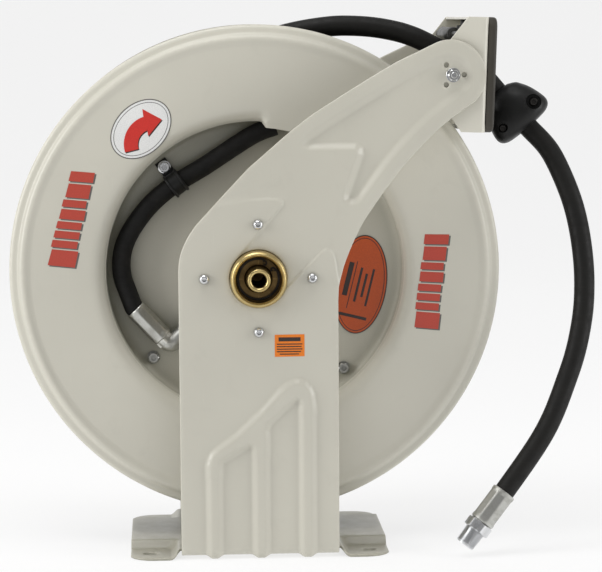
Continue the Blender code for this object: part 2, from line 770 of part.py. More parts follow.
def build_hose_clamp():
    """A P clip: a band round the hose with a flat tab under the cover screw."""
    x, z = COVER_SCREWS[CLAMP_SCREW - 1]
    centre = Vector((x, PIGTAIL_Y, z)) - CLAMP_OUT * CLAMP_REACH

    def world(out, y, height):
        return centre + CLAMP_OUT * out + Vector((0, y, 0)) + CLAMP_ALONG * height

    start = math.degrees(math.asin(CLAMP_TAB / CLAMP_BAND_R))
    outline = arc((0, 0), CLAMP_BAND_R, start, -270, 26)
    outline += [(CLAMP_TAB_END, CLAMP_BAND_R), (CLAMP_TAB_END, CLAMP_TAB)]
    bore = circle((0, 0), CLAMP_BORE_R, 20)
    shape = prism(outline, [bore], world, -CLAMP_HALF, CLAMP_HALF)
    clamp = drum_part("hose_clamp", shape, "plastic", sharp=30.0)
    hole = drum_helper("tab_hole", revolve(rod(-6, 3, 3.3), (x, 0, z), segments=12))
    combine(clamp, hole, "DIFFERENCE")


# --------------------------------------------------------------------- pawl
PAWL_ANGLE = 60.0  # degrees about the drum axis
PAWL_PIN = around_hub(62.0, PAWL_ANGLE)
PAWL_AT = (PAWL_PIN[0], 65, PAWL_PIN[1])
PAWL_PIN_PROFILE = [
    (58.5, 0), (58.5, 6.0), (61.5, 6.0), (61.5, 4.0), (ARM_INSIDE, 4.0), (ARM_INSIDE, 0),
]


def pawl_shape():
    """A tapering finger whose nose hangs just clear of the ratchet teeth."""
    turn = math.radians(PAWL_ANGLE)
    radial = Vector((math.cos(turn), math.sin(turn)))
    tangent = Vector((-radial.y, radial.x))
    nose = Vector(HUB_XZ) + radial * 40.5 + tangent * 20.0
    line = (nose - Vector(PAWL_PIN)).normalized()
    cross = Vector((-line.y, line.x))
    angle = math.degrees(math.atan2(line.y, line.x))
    outline = arc(tuple(Vector(PAWL_PIN)), 8.0, angle + 60, angle + 300, 12)
    outline += [tuple(nose - cross * 1.6), tuple(nose + cross * 1.6)]
    return prism(outline, [circle(tuple(Vector(PAWL_PIN)), 4.4, 12)], in_xz, 62.5, 67.5)


def build_pawl():
    pawl_axis = empty("pawl_axis", PAWL_AT)
    pin = revolve(PAWL_PIN_PROFILE, (PAWL_AT[0], 0, PAWL_AT[2]), segments=12)
    place("pawl_pin", pin, "steel", origin=PAWL_AT)
    place("pawl", pawl_shape(), "steel", sharp=20.0, parent=pawl_axis, origin=PAWL_AT)


# --------------------------------------------------------------- guide head
# The guide head is drawn upright about its pivot; the empty leans it.
HEAD_HALF = 92.0  # half width of the guide bracket
HEAD_LOW = -54
HEAD_HIGH = 55.6
ROLLER_X, UPPER_Z, LOWER_Z = 6.0, 38.4, -9.0  # the two level rollers
SIDE_X, SIDE_Y = 22.5, (-14.2, 22.2)  # the two upright rollers
ROLLER_R = 7.0
AXLE_R = 2.9
AXLE_HOLE_R = 3.3
TRAY_T = 2.3
TRAY_OUTER_X = 31.8
# Name, underside z, inner edge x, front and rear edges y.
TRAYS = [("top", 52.9, 13.0, -89.8, 89.8), ("bottom", -53.6, 14.0, -23.0, 36.5)]
# Outline of the bracket's side cheeks, x and z.
CHEEK_OUTLINE = [
    (13.0, 55.2), (31.6, 55.2), (31.6, -53.6), (9.0, -53.6), (1.0, -42.0),
    (-12.0, -24.0), (-22.0, -9.0), (-22.0, 8.0), (-14.0, 19.0),
]
# Distance inwards from the arm's outer face, radius, kind: head outside, nut inside.
PIVOT_BOLT_SECTIONS = [
    (-5.4, 4.8, "round"), (-5.0, 5.8, "hex"), (-GAP, 5.8, "hex"), (-GAP, 3.0, "round"),
    (9.3, 3.0, "round"), (9.3, 5.8, "hex"), (13.5, 5.8, "hex"),
]
LEVEL_SPAN = (-91.5, -38, 46, 91.5)  # axle end, roller end, roller end, axle end
UPRIGHT_SPAN = (-52.5, -47, 47, 54.4)
# Name, centre, axis, span.
ROLLERS = [
    ("upper", (ROLLER_X, 0, UPPER_Z), Y_AXIS, LEVEL_SPAN),
    ("lower", (ROLLER_X, 0, LOWER_Z), Y_AXIS, LEVEL_SPAN),
    ("front", (SIDE_X, SIDE_Y[0], 0), Z_AXIS, UPRIGHT_SPAN),
    ("rear", (SIDE_X, SIDE_Y[1], 0), Z_AXIS, UPRIGHT_SPAN),
]

head = empty("head_pivot", (PIVOT[0], 0, PIVOT[1]), lean=HEAD_LEAN)
head_part = partial(place, parent=head, sharp=30.0)


def build_bracket():
    outline = rectangle(-HEAD_HALF, HEAD_HALF, HEAD_LOW, HEAD_HIGH)
    window = rectangle(-31, 39, -32, 36)
    bracket = head_part("guide_bracket", prism(outline, [window], in_yz, 30.5, 33), "paint")
    holes = [circle((0, 0), 3.4, 12)]
    holes += [circle((ROLLER_X, z), AXLE_HOLE_R, 10) for z in (UPPER_Z, LOWER_Z)]
    for tag, sign in (("front", -1), ("rear", 1)):
        low, high = sorted((sign * (HEAD_HALF - 2.4), sign * (HEAD_HALF - 0.1)))
        shape = prism(CHEEK_OUTLINE, holes, in_xz, low, high)
        combine(bracket, helper(f"cheek_{tag}", shape, head), "UNION")
    holes = [circle((SIDE_X, y), AXLE_HOLE_R, 10) for y in SIDE_Y]
    for tag, low, inner, front, rear in TRAYS:
        outline = rectangle(inner, TRAY_OUTER_X, front, rear)
        shape = prism(outline, holes, in_xy, low, low + TRAY_T)
        combine(bracket, helper(f"tray_{tag}", shape, head), "UNION")


def build_roller_frame():
    outline = rounded(-90, 90, HEAD_LOW, HEAD_HIGH, 9)
    window = rounded(-29, 37, -30, 34, 5)[::-1]
    frame = prism(outline, [window], in_yz, 33.3, 41.4)
    head_part("roller_frame", frame, "plastic", sharp=40.0)


def build_pivot_bolts():
    for tag, sign in (("front", -1), ("rear", 1)):
        bolt = stack(PIVOT_BOLT_SECTIONS, (0, sign * ARM_FACE, 0), (0, -sign, 0))
        head_part(f"pivot_bolt_{tag}", bolt, "zinc")


def roller_profile(start, low, high, end):
    """A roller slightly waisted at its middle, with stub axles."""
    return [
        (start, 0), (start, AXLE_R), (low, AXLE_R), (low, ROLLER_R - 1.2),
        (low + 2, ROLLER_R), ((low + high) / 2, ROLLER_R - 0.6), (high - 2, ROLLER_R),
        (high, ROLLER_R - 1.2), (high, AXLE_R), (end, AXLE_R), (end, 0),
    ]


def build_rollers():
    for tag, centre, axis, span in ROLLERS:
        spin = empty(f"roller_{tag}_axis", centre, parent=head)
        shape = revolve(roller_profile(*span), centre, axis, 16)
        place(f"roller_{tag}", shape, "plastic", parent=spin, origin=centre)


# --------------------------------------------------------------------- hose
LEAD_R = 218.0  # radius at which the hose leaves the coil
LEAD_ANGLES = (165, 150, 135, 120, 107, 96)
# Knots from the top of the drum to the guide head.
LEAD_KNOTS = [
    (0.0, 8, 492.6), (19.0, 8, 497.6), (45.7, 8, 504.0), (72.3, 8, 508.0), (92.1, 8, 509.0),
    (118.8, 8, 507.4), (142.5, 6.5, 503.0), (158.0, 4.6, 498.0), (170.0, 4, 492.6),
]
# Path of the piece that leans with the guide head, in world coordinates.
SECTION_PATH = [(189.5, 4, 482.4), (200.0, 4, 476.4), (208.5, 4, 471.5)]


def build_hose_lead():
    knots = []
    for angle in LEAD_ANGLES:
        x, z = around_hub(LEAD_R, angle)
        knots.append((x, 7.0, z))
    place("hose_lead", sweep(smooth_path(knots + LEAD_KNOTS, 2), HOSE_R), "hose")


def build_hose_section():
    points, faces = sweep(SECTION_PATH, HOSE_R)
    unlean = Matrix.Rotation(math.radians(-HEAD_LEAN), 3, "Y")
    pivot = Vector((PIVOT[0], 0, PIVOT[1]))
    head_part("hose_section", ([unlean @ (p - pivot) for p in points], faces), "hose")


# ------------------------------------------------------- hose end and stop
SWING = (224.0, 3.5, 462.5)  # point the hose end swings about, inside the window
STOP_AT = Vector((258.0, -1.5, 424.3))
STOP_WAY = Vector((0.640, -0.17, -0.749)).normalized()  # down the hose
STOP_SIDE = (Vector(Y_AXIS) - STOP_WAY * STOP_WAY.y).normalized()
STOP_CROSS = STOP_WAY.cross(STOP_SIDE).normalized()
TAIL_KNOTS = [
    STOP_AT + STOP_WAY * 22.5, (289.0, -12.5, 389.5), (299.3, -22, 369.8),
    (310.6, -33, 339.0), (316.9, -41, 310.2), (320.2, -48, 279.4), (320.3, -54, 252.5),
    (317.7, -60, 226.7), (310.4, -68, 195.3), (299.7, -75, 166.0), (277.3, -87, 117.1),
    (235.6, -99, 61.0),
]
TAIL_AIM = Vector((212.6, -104, 32.4))  # the end fitting points here
# Distance from the tail's end, radius.
TAIL_FERRULE = [
    (0, 10.35), (0, 11.6), (1.2, 12.1), (35.3, 12.1), (36.5, 11.6), (36.5, 10.35),
]
# Distance, radius, kind; the last section goes back inside as the bore.
TAIL_FITTING = [
    (36.9, 12.9, "hex"), (46.9, 12.9, "hex"), (46.9, 10.2, "round"), (62.4, 9.7, "round"),
    (63.9, 8.6, "round"), (63.9, 6.3, "round"), (40.0, 6.3, "round"),
]
# Distance down the hose, half width, depth of each half.
STOP_PROFILE = [
    (-24.0, 13.0, 13.0), (-20.0, 19.8, 17.6), (-13.0, 24.8, 21.2), (-4.0, 28.4, 23.4),
    (5.0, 30.7, 24.0), (12.0, 31.4, 23.2), (17.0, 29.6, 21.2), (20.5, 21.5, 17.0),
    (21.5, 13.0, 13.0),
]
STOP_BORE_R = HOSE_R + 0.45
STOP_SPLIT = 0.35  # flat side of each half from the split plane
STOP_STEPS = 10
STOP_BOLT_OFFSETS = (19.2, -20.8)
# Distance along the bolt, radius.
STOP_BOLT_BORE = [
    (-40, 0), (-40, 6.4), (-12, 6.4), (-12, 3.3), (12, 3.3), (12, 6.4), (40, 6.4), (40, 0),
]
STOP_BOLT_SECTIONS = [
    (-16.4, 4.6, "round"), (-12.3, 5.0, "round"), (-12.3, 2.9, "round"),
    (12.3, 2.9, "round"), (12.3, 5.5, "hex"), (16.6, 5.5, "hex"),
]

swing = empty("swing_axis", SWING)
swing_part = partial(place, parent=swing, origin=SWING)


def build_hose_tail():
    path = [Vector(SWING), Vector((232.5, 3.4, 454.2)), STOP_AT - STOP_WAY * 25.0]
    path += smooth_path(TAIL_KNOTS, 2)
    end = path[-1]
    way = (TAIL_AIM - end).normalized()
    tail = sweep(path + [end + way * 34], HOSE_R, round_start=True)
    swing_part("hose_tail", tail, "hose")
    swing_part("tail_ferrule", revolve(TAIL_FERRULE, end, way, 16, closed=True), "zinc")
    swing_part("tail_fitting", stack(TAIL_FITTING, end, way), "zinc", sharp=30.0)


def stop_half(sign):
    """Half of the ball stop: half ovals with half of the hose bore out of the flat side."""

    def half_oval(centre, half_width, depth, steps):
        turns = [math.pi * k / STOP_STEPS for k in steps]
        return [
            centre
            + STOP_CROSS * (half_width * math.cos(turn))
            + STOP_SIDE * (sign * (STOP_SPLIT + (depth - STOP_SPLIT) * math.sin(turn)))
            for turn in turns
        ]

    rings = []
    for distance, half_width, depth in STOP_PROFILE:
        centre = STOP_AT + STOP_WAY * distance
        outer = half_oval(centre, half_width, depth, range(STOP_STEPS + 1))
        bore = half_oval(centre, STOP_BORE_R, STOP_BORE_R, range(STOP_STEPS, -1, -1))
        rings.append(outer + bore)
    points, faces = skin(rings)
    width = len(rings[0])
    for start in (0, len(points) - width):
        last = start + width - 1
        for k in range(STOP_STEPS):
            faces.append((start + k, start + k + 1, last - 1 - k, last - k))
    return points, faces


def build_stop():
    halves = [
        swing_part("stop_half_front", stop_half(-1), "plastic"),
        swing_part("stop_half_rear", stop_half(1), "plastic"),
    ]
    for index, offset in enumerate(STOP_BOLT_OFFSETS, 1):
        bolt_at = STOP_AT + STOP_WAY * 7.0 + STOP_CROSS * offset
        shape = revolve(STOP_BOLT_BORE, bolt_at, STOP_SIDE, 14)
        bore = helper(f"stop_bore_{index}", shape, swing, SWING)
        for half in halves:
            combine(half, bore, "DIFFERENCE")
        bolt = stack(STOP_BOLT_SECTIONS, bolt_at, STOP_SIDE)
        swing_part(f"stop_bolt_{index}", bolt, "zinc")


# ----------------------------------------------------------------- assembly
build_arms(build_base())
build_hub_carriers()
build_discs()
drum_barrel = build_barrel()
build_drum_inside()
build_swivel()
build_outlet(drum_barrel)
build_hose_clamp()
build_pawl()
build_bracket()
build_roller_frame()
build_pivot_bolts()
build_rollers()
build_hose_lead()
build_hose_section()
build_hose_tail()
build_stop()

for root in bpy.data.objects:
    if root.parent is None:
        root.location.z -= PLATFORM * MM
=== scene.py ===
"""Looks for the dual-arm hose reel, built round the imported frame.

Shapes are drawn in millimetres with heights above the floor, x to the right, y away
from the viewer and z up, and world() turns them into the frame's metres.
"""

import math

import bmesh
import bpy
import numpy as np
from mathutils import Matrix, Vector
from mathutils.geometry import delaunay_2d_cdt, tessellate_polygon
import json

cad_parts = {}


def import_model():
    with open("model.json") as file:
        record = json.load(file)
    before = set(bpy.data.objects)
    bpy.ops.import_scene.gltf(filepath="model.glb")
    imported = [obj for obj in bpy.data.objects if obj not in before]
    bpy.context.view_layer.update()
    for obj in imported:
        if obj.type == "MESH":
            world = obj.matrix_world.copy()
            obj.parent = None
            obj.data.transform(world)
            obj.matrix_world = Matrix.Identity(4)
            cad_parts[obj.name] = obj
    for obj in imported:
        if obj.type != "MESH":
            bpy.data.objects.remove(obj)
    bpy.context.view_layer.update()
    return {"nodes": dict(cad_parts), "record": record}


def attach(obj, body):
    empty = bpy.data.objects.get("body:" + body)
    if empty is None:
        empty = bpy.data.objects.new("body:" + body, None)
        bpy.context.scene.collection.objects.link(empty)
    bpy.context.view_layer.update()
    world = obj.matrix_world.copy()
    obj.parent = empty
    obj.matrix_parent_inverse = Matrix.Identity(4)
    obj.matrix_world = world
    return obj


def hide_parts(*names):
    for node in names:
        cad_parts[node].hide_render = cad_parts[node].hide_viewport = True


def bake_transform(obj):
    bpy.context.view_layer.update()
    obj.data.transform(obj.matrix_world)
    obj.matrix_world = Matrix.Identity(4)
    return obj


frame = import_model()
CAD_NODES = frame["nodes"]

MM = 0.001
LIFT = 7.5
AXIS_Z = 271.0
HUB = (0.0, 0.0, AXIS_Z)
PIVOT = (186.5, 462.0)
LEAN = math.radians(2.0)

# ------------------------------------------------------------------ materials


def linear(r, g, b):
    def one(v):
        v /= 255.0
        return v / 12.92 if v <= 0.04045 else ((v + 0.055) / 1.055) ** 2.4

    return (one(r), one(g), one(b), 1.0)


def shade(colour, k):
    return (min(colour[0] * k, 1.0), min(colour[1] * k, 1.0), min(colour[2] * k, 1.0), 1.0)


class Recipe:
    """A material with its node tree, and short calls for the nodes used here."""

    def __init__(self, name, colour, rough, metal=0.0):
        self.mat = bpy.data.materials.new(name)
        self.mat.use_nodes = True
        self.tree = self.mat.node_tree
        self.shader = self.tree.nodes["Principled BSDF"]
        self.shader.inputs["Base Color"].default_value = colour
        self.shader.inputs["Roughness"].default_value = rough
        self.shader.inputs["Metallic"].default_value = metal
        self.coord = self.tree.nodes.new("ShaderNodeTexCoord").outputs["Object"]

    def link(self, a, b):
        self.tree.links.new(a, b)
        return b

    def scaled(self, scale, rotation=(0, 0, 0)):
        node = self.tree.nodes.new("ShaderNodeMapping")
        node.inputs["Scale"].default_value = scale
        node.inputs["Rotation"].default_value = rotation
        self.link(self.coord, node.inputs["Vector"])
        return node.outputs["Vector"]

    def noise(self, scale, detail=3.0, rough=0.5, vector=None, distortion=0.0):
        node = self.tree.nodes.new("ShaderNodeTexNoise")
        node.inputs["Scale"].default_value = scale
        node.inputs["Detail"].default_value = detail
        node.inputs["Roughness"].default_value = rough
        node.inputs["Distortion"].default_value = distortion
        self.link(vector or self.coord, node.inputs["Vector"])
        return node.outputs["Fac"]

    def voronoi(self, scale, vector=None, feature="F1"):
        node = self.tree.nodes.new("ShaderNodeTexVoronoi")
        node.feature = feature
        node.inputs["Scale"].default_value = scale
        self.link(vector or self.coord, node.inputs["Vector"])
        return node.outputs["Distance"]

    def wave(self, scale, distortion=0.0, direction="X", kind="BANDS", vector=None):
        node = self.tree.nodes.new("ShaderNodeTexWave")
        node.wave_type = kind
        if kind == "BANDS":
            node.bands_direction = direction
        else:
            node.rings_direction = direction
        node.inputs["Scale"].default_value = scale
        node.inputs["Distortion"].default_value = distortion
        self.link(vector or self.coord, node.inputs["Vector"])
        return node.outputs["Fac"]

    def span(self, value, low, high, to_low=0.0, to_high=1.0):
        node = self.tree.nodes.new("ShaderNodeMapRange")
        node.inputs["From Min"].default_value = low
        node.inputs["From Max"].default_value = high
        node.inputs["To Min"].default_value = to_low
        node.inputs["To Max"].default_value = to_high
        self.link(value, node.inputs["Value"])
        return node.outputs["Result"]

    def maths(self, operation, a, b):
        node = self.tree.nodes.new("ShaderNodeMath")
        node.operation = operation
        for socket, v in ((node.inputs[0], a), (node.inputs[1], b)):
            if isinstance(v, (int, float)):
                socket.default_value = v
            else:
                self.link(v, socket)
        return node.outputs["Value"]

    def mix(self, factor, a, b):
        node = self.tree.nodes.new("ShaderNodeMix")
        node.data_type = "RGBA"
        self.link(factor, node.inputs["Factor"])
        for socket, v in ((node.inputs[6], a), (node.inputs[7], b)):
            if isinstance(v, tuple):
                socket.default_value = v
            else:
                self.link(v, socket)
        return node.outputs[2]

    def edges(self, low=0.52, high=0.58):
        node = self.tree.nodes.new("ShaderNodeNewGeometry")
        return self.span(node.outputs["Pointiness"], low, high)

    def colour(self, value):
        self.link(value, self.shader.inputs["Base Color"])

    def rough(self, value):
        self.link(value, self.shader.inputs["Roughness"])

    def bump(self, value, distance, strength=1.0, after=None):
        node = self.tree.nodes.new("ShaderNodeBump")
        node.inputs["Distance"].default_value = distance
        node.inputs["Strength"].default_value = strength
        self.link(value, node.inputs["Height"])
        if after is not None:
            self.link(after, node.inputs["Normal"])
        self.link(node.outputs["Normal"], self.shader.inputs["Normal"])
        return node.outputs["Normal"]


def paint(name, colour, coat=0.35, reach=0.012, painted_shade=0.5):
    """Powder coat: orange peel, faint tone drift, handling smudges, painted shade in corners and recesses from an
    occlusion node, and paler edges that are partly wear and partly a painted highlight.
    """
    r = Recipe(name, colour, 0.4)
    drift = r.span(r.noise(7.0, 3.0), 0.3, 0.7)
    base = r.mix(drift, shade(colour, 0.955), shade(colour, 1.03))
    smudge = r.span(r.noise(38.0, 6.0, 0.65, distortion=0.6), 0.58, 0.78, 0.0, 0.22)
    base = r.mix(smudge, base, shade(colour, 0.80))
    speck = r.span(r.voronoi(620.0), 0.0, 0.055, 0.35, 0.0)
    base = r.mix(speck, base, shade(colour, 0.62))
    scratch = r.span(r.noise(1.0, 2.0, 0.5, r.scaled((900.0, 900.0, 22.0), (0.3, 0.5, 0.2))), 0.70, 0.74, 0.0, 0.16)
    base = r.mix(scratch, base, shade(colour, 1.22))
    # Painted shade: an occlusion node darkens the colour towards a dark green grey in corners, recesses and under
    # parts, where shade falls; reach sets how far it looks and the last argument how strong it is.
    near = r.tree.nodes.new("ShaderNodeAmbientOcclusion")
    near.samples = 6
    near.inputs["Distance"].default_value = reach
    base = r.mix(r.span(near.outputs["AO"], 0.15, 0.85, painted_shade, 0.0), base, (colour[0] * 0.36, colour[1] * 0.37, colour[2] * 0.31, 1.0))
    # Painted highlight, partly wear: sharp edges are painted paler, both where light catches them and where the paint
    # wears.
    worn_and_lit_edges = r.maths("MULTIPLY", r.edges(0.515, 0.56), r.span(r.noise(160.0, 4.0), 0.35, 0.65, 0.15, 0.55))
    r.colour(r.mix(worn_and_lit_edges, base, shade(colour, 1.25)))
    r.rough(r.span(r.noise(60.0, 5.0, 0.6), 0.3, 0.7, 0.34, 0.52))
    peel = r.bump(r.noise(420.0, 2.0, 0.4), 0.00012, 0.35)
    r.bump(r.noise(2600.0, 2.0, 0.6), 0.00002, 0.3, peel)
    r.shader.inputs["Coat Weight"].default_value = coat
    r.shader.inputs["Coat Roughness"].default_value = 0.22
    return r.mat


def metal(name, colour, rough, tarnish, grain=(2200.0, 90.0, 2200.0), low=0.0, high=0.5):
    """Turned, plated or brushed metal with fine tool lines, cloudy tarnish and bright edges."""
    r = Recipe(name, colour, rough, 1.0)
    lines = r.noise(1.0, 3.0, 0.6, r.scaled(grain))
    cloud = r.span(r.noise(70.0, 5.0, 0.6, distortion=0.8), 0.42, 0.72, low, high)
    base = r.mix(cloud, colour, tarnish)
    base = r.mix(r.span(lines, 0.35, 0.65, 0.0, 0.35), base, shade(colour, 0.72))
    r.colour(r.mix(r.edges(0.52, 0.6), base, shade(colour, 1.35)))
    r.rough(r.maths("ADD", r.span(lines, 0.3, 0.7, rough * 0.75, rough * 1.2), r.maths("MULTIPLY", cloud, 0.22)))
    r.bump(lines, 0.00003, 0.35)
    return r.mat


def rubber(name, colour, rough=0.5):
    """Hose cover: wrapped-cloth grain, pale dust and slightly shiny rubbed patches."""
    r = Recipe(name, colour, rough)
    dust = r.span(r.noise(45.0, 6.0, 0.7), 0.45, 0.8, 0.0, 0.4)
    base = r.mix(dust, colour, linear(34, 32, 28))
    streak = r.span(r.noise(1.0, 3.0, 0.5, r.scaled((60.0, 60.0, 900.0), (0.2, 0.6, 0.0))), 0.6, 0.72, 0.0, 0.3)
    r.colour(r.mix(streak, base, linear(40, 38, 34)))
    r.rough(r.span(r.noise(110.0, 5.0, 0.6), 0.3, 0.7, rough * 0.82, rough * 1.2))
    weave = r.bump(r.noise(1500.0, 2.0, 0.5), 0.00006, 0.4)
    r.bump(r.noise(210.0, 3.0, 0.5), 0.00018, 0.3, weave)
    r.shader.inputs["Specular IOR Level"].default_value = 0.27
    return r.mat


def moulded(name, colour, rough=0.45):
    """Moulded plastic: spark-eroded grain, dull dust and lighter rubbed edges."""
    r = Recipe(name, colour, rough)
    dust = r.span(r.noise(55.0, 6.0, 0.7), 0.5, 0.8, 0.0, 0.3)
    base = r.mix(dust, colour, shade(colour, 1.5))
    r.colour(r.mix(r.edges(0.52, 0.6), base, shade(colour, 1.8)))
    r.shader.inputs["Specular IOR Level"].default_value = 0.34
    r.rough(r.span(r.noise(130.0, 4.0), 0.3, 0.7, rough * 0.85, rough * 1.2))
    grain = r.bump(r.voronoi(1900.0), 0.00004, 0.4)
    r.bump(r.noise(90.0, 2.0), 0.0002, 0.25, grain)
    return r.mat


def printed(name, colour, rough=0.42):
    """Ink on film: fine print mottle and tiny pinholes."""
    r = Recipe(name, colour, rough)
    mottle = r.span(r.noise(900.0, 3.0), 0.35, 0.7)
    base = r.mix(mottle, shade(colour, 0.92), shade(colour, 1.06))
    fade = r.span(r.noise(25.0, 4.0), 0.45, 0.8, 0.0, 0.25)
    r.colour(r.mix(fade, base, shade(colour, 1.25)))
    r.rough(r.span(r.noise(200.0, 4.0), 0.3, 0.7, rough * 0.8, rough * 1.2))
    r.bump(r.noise(1200.0, 2.0), 0.00001, 0.3)
    r.shader.inputs["Coat Weight"].default_value = 0.2
    r.shader.inputs["Coat Roughness"].default_value = 0.25
    return r.mat


# The last two numbers of each paint give the reach and strength of its painted shade: faint on the arms and bracket,
# strong on the drum, cover and base.
PAINT = paint("grey_powder_coat", linear(198, 195, 182), 0.35, 0.008, 0.18)
DRUM_PAINT = paint("grey_drum_paint", linear(206, 203, 190), 0.3, 0.05, 0.85)
# Painted shade: the spring cover gets a darker copy of the drum paint, for the shade deep inside the drum's mouth.
SHADED_COVER_PAINT = paint("grey_cover_paint_painted_shade", linear(188, 185, 172), 0.3, 0.05, 0.85)
# Painted light: the guide bracket gets a lighter copy of the arm paint, for the stronger light that falls on it.
LIT_BRACKET_PAINT = paint("grey_bracket_paint_painted_light", linear(214, 211, 198), 0.35, 0.008, 0.18)
# Painted shade: the base gets a darker copy of the arm paint with a wider, stronger painted shade, for the shade
# under the drum.
SHADED_BASE_PAINT = paint("grey_base_paint_painted_shade", linear(174, 171, 157), 0.3, 0.10, 0.8)
ZINC = metal("zinc_plate", linear(206, 207, 208), 0.2, linear(150, 152, 158), (1500.0, 1500.0, 1500.0), 0.0, 0.45)
DARK_STEEL = metal("black_oxide", linear(74, 72, 70), 0.34, linear(40, 37, 34), (900.0, 900.0, 900.0), 0.0, 0.6)
DULL_ZINC = metal("weathered_zinc", linear(150, 150, 146), 0.34, linear(92, 90, 84), (900.0, 900.0, 900.0), 0.1, 0.8)
SATIN = metal("satin_zinc", linear(194, 194, 189), 0.36, linear(142, 140, 132), (1400.0, 1400.0, 1400.0), 0.0, 0.7)
STEEL = metal("machined_steel", linear(150, 150, 152), 0.3, linear(96, 92, 88))
SPRING = metal("blued_spring", linear(44, 40, 36), 0.38, linear(24, 21, 19))
BRASS = metal("turned_brass", linear(208, 186, 130), 0.3, linear(152, 126, 78), (120.0, 2600.0, 120.0), 0.0, 0.45)
DARK_BRASS = metal("oiled_brass", linear(122, 100, 64), 0.4, linear(58, 46, 30), (200.0, 200.0, 200.0), 0.2, 0.8)
HOSE = rubber("hose_cover", linear(19, 18, 16), 0.56)
PIGTAIL_HOSE = rubber("pigtail_cover", linear(11, 10, 9), 0.62)
BLACK = moulded("black_moulding", linear(15, 15, 14), 0.46)
FRAME_PLASTIC = moulded("grey_black_moulding", linear(52, 49, 43), 0.5)
ROLLER = moulded("roller_moulding", linear(44, 44, 42), 0.38)
NYLON = moulded("natural_nylon", linear(214, 208, 192), 0.5)
WHITE_INK = printed("white_film", linear(232, 232, 230))
RED_INK = printed("red_ink", linear(206, 44, 34))
DULL_RED_INK = printed("dull_red_ink", linear(184, 66, 50))
GREY_INK = printed("grey_ink", linear(98, 96, 92))
ORANGE_INK = printed("orange_film", linear(190, 76, 8))
AMBER_INK = printed("amber_film", linear(229, 121, 8))
DARK_INK = printed("dark_ink", linear(44, 30, 24))

CAD_FINISH = {
    "painted_steel": PAINT,
    "drum_paint": DRUM_PAINT,
    "zinc_hardware": ZINC,
    "bare_steel": STEEL,
    "spring_steel": SPRING,
    "brass": BRASS,
    "nylon": NYLON,
    "black_plastic": BLACK,
    "roller_plastic": ROLLER,
    "hose_rubber": HOSE,
}
SLOT_OF = {entry["node"]: entry["material_slot"] for entry in frame["record"]["subparts"]}
for node_name, node in CAD_NODES.items():
    for index in range(max(1, len(node.material_slots))):
        if index < len(node.material_slots):
            node.material_slots[index].material = CAD_FINISH[SLOT_OF[node_name]]
        else:
            node.data.materials.append(CAD_FINISH[SLOT_OF[node_name]])

# -------------------------------------------------------------------- builders
PIECES = {}


def world(p):
    return Vector((p[0] * MM, p[1] * MM, (p[2] - LIFT) * MM))


def head_point(u, y, v):
    """A point of the guide head, drawn upright about its pivot, where it stands at rest."""
    return (PIVOT[0] + u * math.cos(LEAN) + v * math.sin(LEAN), y, PIVOT[1] - u * math.sin(LEAN) + v * math.cos(LEAN))


def piece(name, shape, material, body, stands_for=(), smooth=35.0, bevel=0.0, head=False, flip=None):
    points, faces = shape
    if head:
        points = [head_point(*p) for p in points]
    mesh = bpy.data.meshes.new(name)
    mesh.from_pydata([world(p) for p in points], [], [tuple(int(i) for i in f) for f in faces])
    mesh.validate()
    bm = bmesh.new()
    bm.from_mesh(mesh)
    bmesh.ops.recalc_face_normals(bm, faces=bm.faces)
    bm.to_mesh(mesh)
    bm.free()
    made = bpy.data.objects.new(name, mesh)
    bpy.context.scene.collection.objects.link(made)
    for m in material if isinstance(material, (list, tuple)) else (material,):
        mesh.materials.append(m)
    if bevel:
        modifier = made.modifiers.new("edge", "BEVEL")
        modifier.width = bevel * MM
        modifier.segments = 3
        modifier.limit_method = "ANGLE"
        modifier.angle_limit = math.radians(28)
        modifier.harden_normals = False
    mesh.shade_smooth()
    if smooth:
        mesh.set_sharp_from_angle(angle=math.radians(smooth))
    if body:
        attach(made, body)
    if stands_for:
        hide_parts(*stands_for)
    PIECES[name] = made
    return made


def darken(name, at, axis, radius, beyond):
    """Give the second material to the faces of a turning that lie inside a radius."""
    mesh = PIECES[name].data
    centre = world(at)
    way = Vector(axis).normalized()
    for face in mesh.polygons:
        off = (face.center - centre) / MM
        along = off.dot(way)
        if (off - way * along).length < radius and along > beyond:
            face.material_index = 1


def basis(axis, ref=None):
    w = Vector(axis).normalized()
    if ref is None:
        ref = Vector((0, 0, 1)) if abs(w.z) < 0.9 else Vector((1, 0, 0))
    u = (Vector(ref) - w * w.dot(Vector(ref))).normalized()
    return u, w.cross(u), w


def join(*shapes):
    points, faces = [], []
    for p, f in shapes:
        start = len(points)
        points += [Vector(q) for q in p]
        faces += [tuple(i + start for i in face) for face in f]
    return points, faces


def grid_faces(rows, columns, wrap=True):
    faces = []
    for j in range(rows - 1):
        for i in range(columns if wrap else columns - 1):
            n = (i + 1) % columns
            faces.append((j * columns + i, j * columns + n, (j + 1) * columns + n, (j + 1) * columns + i))
    return faces


def rounded_profile(profile, radius=0.5, steps=3):
    """Corners of an open profile turned into small arcs."""
    out = [profile[0]]
    for a, b, c in zip(profile, profile[1:], profile[2:]):
        a, b, c = Vector(a), Vector(b), Vector(c)
        first, second = (a - b), (c - b)
        if first.length < 1e-6 or second.length < 1e-6 or first.angle(second) > math.radians(160):
            out.append(tuple(b))
            continue
        reach = min(radius, first.length * 0.45, second.length * 0.45)
        start, end = b + first.normalized() * reach, b + second.normalized() * reach
        for k in range(steps + 1):
            t = k / steps
            out.append(tuple(start * (1 - t) ** 2 + b * 2 * t * (1 - t) + end * t**2))
    out.append(profile[-1])
    return out


